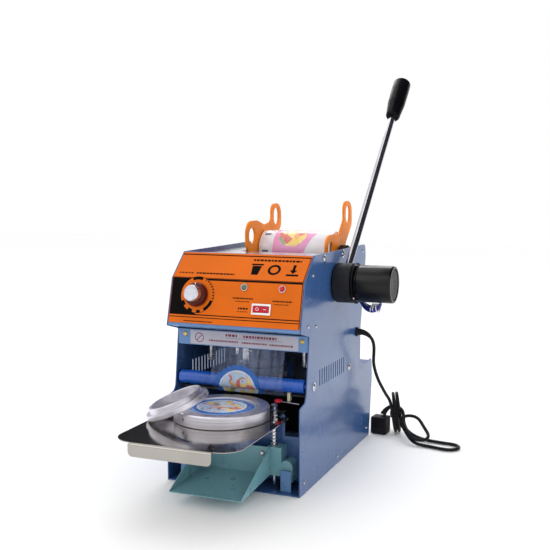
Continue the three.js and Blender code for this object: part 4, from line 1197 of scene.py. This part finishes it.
def drawer():
    eased("drawer_pan", 0.35, "pan", "drawer", "teal_paint", TEAL)
    screws = [screw(at(x, 14.5, 65), -Y, 4.4, 3.4, 0.5) for x in (-51, 51)]
    piece(merge("pan_screws", screws), "drawer", "polished_steel", CHROME)
    for side, sign in (("left", -1), ("right", 1)):
        eased("drawer_block_" + side, 0.7, "block_" + side, "drawer", "teal_paint", TEAL)
        piece(lathe("rod_" + side, [[0, 13.3], [5, 13.3], [5, 215], [0, 215]], at(sign * 95, 0, 30), Y, 48),
              "chassis",
              "polished_steel", CHROME, "slide_rod_" + side)
        # The stands take the lighter copy of the blue enamel: painted light, the same paint shown as if lit.
        eased("slide_stand_" + side, 0.5, "stand_" + side, "chassis", "blue_paint", BLUE_PAINTED_LIT)
        piece(coil("spring_" + side, sign * POST_X, POST_Y, 76.3, 132.2, 5.9, 0.85, 9), "drawer", "steel",
              CHROME,
              "tray_spring_" + side)
        foot = at(sign * POST_X, POST_Y, 0)
        washer = [[4, 134.2], [6.5, 134.2], [6.5, 135.4], [4, 135.4]]
        neck = [[0, 140], [4, 140], [4, 149], [2.8, 150], [0, 150.2]]
        parts = [lathe("post", [[0, 8], [4, 8], [4, 134.3], [0, 134.3]], foot, Z, 40),
                 lathe("washer", washer, foot, Z, 32, closed=True, corner=0.2)]
        parts += [hexagon(at(sign * POST_X, POST_Y, z), Z, 6.4, h) for z, h in ((135.4, 5.4), (143.6, 5.6))]
        parts.append(lathe("neck", neck, foot, Z, 32))
        piece(merge("post_" + side, parts), "tray_deck", "steel", CHROME, "tray_post_" + side)
    edge = [[-118, 12, 2], [118, 12, 2], [118, 90, 2], [81, 90, 1], [81, 128, 3], [-81, 128, 3],
            [-81, 90, 1],
            [-118, 90, 2]]
    bores = [circle(x, 30, 5.4, 32) for x in (-95, 95)]
    piece(plate("drawer_back", edge, 43.4, 45.4, "Y", bores, 0.35), "drawer", "blue_paint", BLUE,
          "drawer_back_plate")
    eased("slide_rear_bar", 0.6, "rear_bar", "chassis", "blue_paint", BLUE)
    bolts = [hexagon(at(x, y, 2.0), Z, 4.6, 3.4) for x in (-78, 78) for y in (20, 60, 120)]
    bolts += [screw(at(x, y, 2.0), Z, 4, 2.4) for x in (-112, 112) for y in (30, 90)]
    piece(merge("floor_bolts", bolts), "chassis", "steel", DARK_STEEL)


def tray():
    edge = [
        [-106, -217, 36], [106, -217, 36], [106, 3, 3], [84, 3, 2], [84, 45, 3], [-84, 45, 3], [-84, 3, 2],
        [-106, 3, 3],
    ]
    holes = [circle(0, MOULD_Y, 48, 72), circle(POST_X, POST_Y, 4.3, 24), circle(-POST_X, POST_Y, 4.3, 24)]
    sheet = plate("tray_sheet", edge, 132.5, 134, "Z", holes, 0.4)
    piece(sheet, "tray_deck", "polished_steel", MIRROR, "tray")
    line = [(-215.5, 134.0), (-217.8, 134.0)]
    for k in range(1, 9):
        a = math.radians(90 + 90 * k / 8)
        line.append((-217.8 + 4.2 * math.cos(a), 129.8 + 4.2 * math.sin(a)))
    line += [(-222, 126), (-222, 122), (-222, 118), (-222, 116), (-222, 114.4), (-222, 113.4), (-222, 113)]
    verts, faces = [], []
    columns = [-70, -69.4, -68.4, -67, -65, -62, -56] + [-56 + 112 * k / 16 for k in range(1, 16)]
    columns += [56, 62, 65, 67, 68.4, 69.4, 70]
    for y, z in line:
        for x in columns:
            depth = z
            reach = 70 - abs(x)
            if reach < 8 and z < 121:
                floor = 121 - math.sqrt(max(0, 64 - (8 - reach) ** 2))
                depth = max(z, floor)
            verts.append(at(x, y, depth))
    wide = len(columns)
    for i in range(len(line) - 1):
        for k in range(wide - 1):
            a = i * wide + k
            faces.append((a, a + wide, a + wide + 1, a + 1))
    lip = mesh_object("tray_lip", verts, faces)
    tidy(lip.data, 5e-5)
    shade(lip, 50, weighted=False)
    thick = lip.modifiers.new("thickness", "SOLIDIFY")
    thick.thickness = 0.0014
    thick.offset = -1
    ease = lip.modifiers.new("ease", "BEVEL")
    ease.width = 0.0004
    ease.segments = 2
    ease.limit_method = "ANGLE"
    ease.angle_limit = math.radians(50)
    piece(lip, "tray_deck", "polished_steel", MIRROR)
    top = 155.3
    ring = [[47, 134.3], [79, 134.3], [80, 135.3, 0.6], [80, 153.6, 1.1], [78.6, top, 1.0], [63, top, 0.5],
            [61, 154.5, 0.5], [58.2, 154.5, 0.5], [58, 152.9], [47, 152.9]]
    piece(lathe("cup_mould", ring, at(0, MOULD_Y, 0), Z, 128, closed=True, corner=0.3), "tray_deck",
          "cast_aluminium",
          MOULD_METAL, "mould_ring")
    screws = []
    for degrees in (244, 64):
        a = math.radians(degrees)
        out = Vector((math.cos(a), math.sin(a), 0))
        screws.append(lathe("set_screw",
                            [[0, -0.6], [1.3, -0.6], [1.3, 0.05], [2.6, 0.12], [2.6, -0.4], [0, -0.9]],
                            at(80 * out.x, MOULD_Y + 80 * out.y, 145), out, 24, corner=0.05))
    piece(merge("mould_screws", screws), "tray_deck", "black_plastic", BLACK_PLASTIC)
    grid, spokes = [], 64
    for i in range(9):
        r = 55 * i / 8
        for k in range(spokes):
            a = 2 * math.pi * k / spokes
            sag = 0.25 * math.sin(3 * a) * (i / 8) ** 2
            grid.append(at(r * math.cos(a), MOULD_Y + r * math.sin(a), 153.45 + 0.12 * (i / 8) + sag * 0.3))
    faces = [(i * spokes + k, i * spokes + (k + 1) % spokes, (i + 1) * spokes + (k + 1) % spokes,
              (i + 1) * spokes + k)
             for i in range(8) for k in range(spokes)]
    disc = mesh_object("lid_film", grid, faces)
    tidy(disc.data, 1e-6)
    shade(disc, 60, weighted=False)
    skin = disc.modifiers.new("thickness", "SOLIDIFY")
    skin.thickness = 0.0003
    piece(disc, "tray_deck", "film_print", film_disc_material(), "film_disc")
    pins = [screw(at(x, -32, 134), Z, 3.4, 1.6) for x in (-92, 92)]
    piece(merge("tray_pins", pins), "tray_deck", "steel", CHROME)


def adapter():
    lean, heading = math.radians(22.5), math.radians(-156.5)
    turn = Matrix.Rotation(lean, 3,
                           Vector((math.cos(heading + math.pi / 2), math.sin(heading + math.pi / 2), 0)))
    axis = turn @ Z
    height = 134.3 + 54.6 * math.sin(lean)
    ring = [[42, 0], [53.6, 0], [54.6, 1, 0.5], [54.6, 8.2, 0.7], [53.4, 9, 0.6], [47, 9], [46.4, 9.8, 0.4],
            [46.4, 17, 0.6], [45.4, 18, 0.5], [42.6, 18, 0.4], [42, 17.2]]
    obj = lathe("adapter", ring, at(-62, -74, height), axis, 112, closed=True, corner=0.3)
    piece(obj, "adapter", "cast_aluminium", RING_METAL, "adapter_ring")


def latch():
    """The small latch by the right post: a red cap and a pointed blade, with a cream stop behind."""
    cap = lathe("latch_cap", [[0, 150.4], [6.4, 150.4], [7.2, 151.6], [6.6, 154.8, 1.2], [0, 155.2]],
                at(72, 36, 0), Z, 40)
    piece(cap, "tray_deck", "red_plastic", RED)
    blade = plate("latch_blade", [[76, 33.5], [112, 27.5, 1], [113, 29.5, 1], [78, 39.5]], 151.0, 152.6, "Z",
                  (), 0.3)
    piece(blade, "tray_deck", "polished_steel", CHROME)
    stop = block("film_stop", 83, 89, 48, 56, 150, 168, 1.2)
    piece(stop, "chassis", "white_plastic", CREAM)


body()
prints()
label_prints()
controls()
film()
lever()
inside()
drawer()
tray()
adapter()
latch()


# ---------------------------------------------------------------- floor and light
def studio():
    size = 6
    floor = mesh_object("floor", [(-size, -size, -0.0005), (size, -size, -0.0005), (size, size, -0.0005),
                                  (-size, size, -0.0005)], [(0, 1, 2, 3)])
    s = Shader("floor_paper")
    where = s.coordinates()
    s.put(s.bsdf.inputs["Base Color"], s.mix(s.noise(where, 3), (253, 253, 254), (255, 255, 255)))
    s.put(s.bsdf.inputs["Roughness"], s.spread(s.noise(where, 20), 0.75, 0.9))
    floor.data.materials.append(s.material)
    world = bpy.data.worlds.new("studio")
    SCENE.world = world
    world.use_nodes = True
    background = world.node_tree.nodes["Background"]
    background.inputs["Color"].default_value = (1, 1, 1, 1)
    background.inputs["Strength"].default_value = 1.0
    lights = [
        ("key", (-1.4, -2.2, 2.4), (0, 0, 0.2), 2.0, 9),
        ("fill", (2.2, -1.6, 1.4), (0, 0, 0.2), 1.6, 3),
        ("top", (0.2, 0.4, 2.6), (0, 0, 0.2), 2.0, 7),
        ("rim", (-0.35, 1.2, 1.4), (0.15, 0, 0.35), 0.7, 5),
    ]
    for name, place, target, width, power in lights:
        data = bpy.data.lights.new(name, "AREA")
        data.size = width
        data.energy = power
        lamp = link(name, data)
        lamp.location = place
        lamp.rotation_mode = "QUATERNION"
        lamp.rotation_quaternion = (Vector(target) - Vector(place)).to_track_quat("-Z", "Y")
        lamp.visible_camera = False
    flags = [
        ("flag_right", (0.95, 1.5, 0.1), (1.3, 1.5, 0.1), (0, 0, 1.1)),
        ("flag_left", (-1.9, 1.1, 0.3), (-0.95, 1.6, 0.3), (0, 0, 0.8)),
        ("flag_above", (-0.2, -0.6, 2.2), (-0.2, 2.2, 2.2), (2.2, 0, -1.7)),
    ]
    for name, start, end, reach in flags:
        corners = [Vector(start), Vector(end), Vector(end) + Vector(reach), Vector(start) + Vector(reach)]
        flag = mesh_object(name, corners, [(0, 1, 2, 3)])
        s = Shader(name + "_cloth")
        s.put(s.bsdf.inputs["Base Color"], s.mix(s.noise(s.coordinates(), 6), (26, 28, 34), (40, 42, 48)))
        s.bsdf.inputs["Roughness"].default_value = 0.9
        flag.data.materials.append(s.material)
        flag.visible_camera = flag.visible_diffuse = flag.visible_shadow = False
    SCENE.view_settings.view_transform = "Standard"


studio()
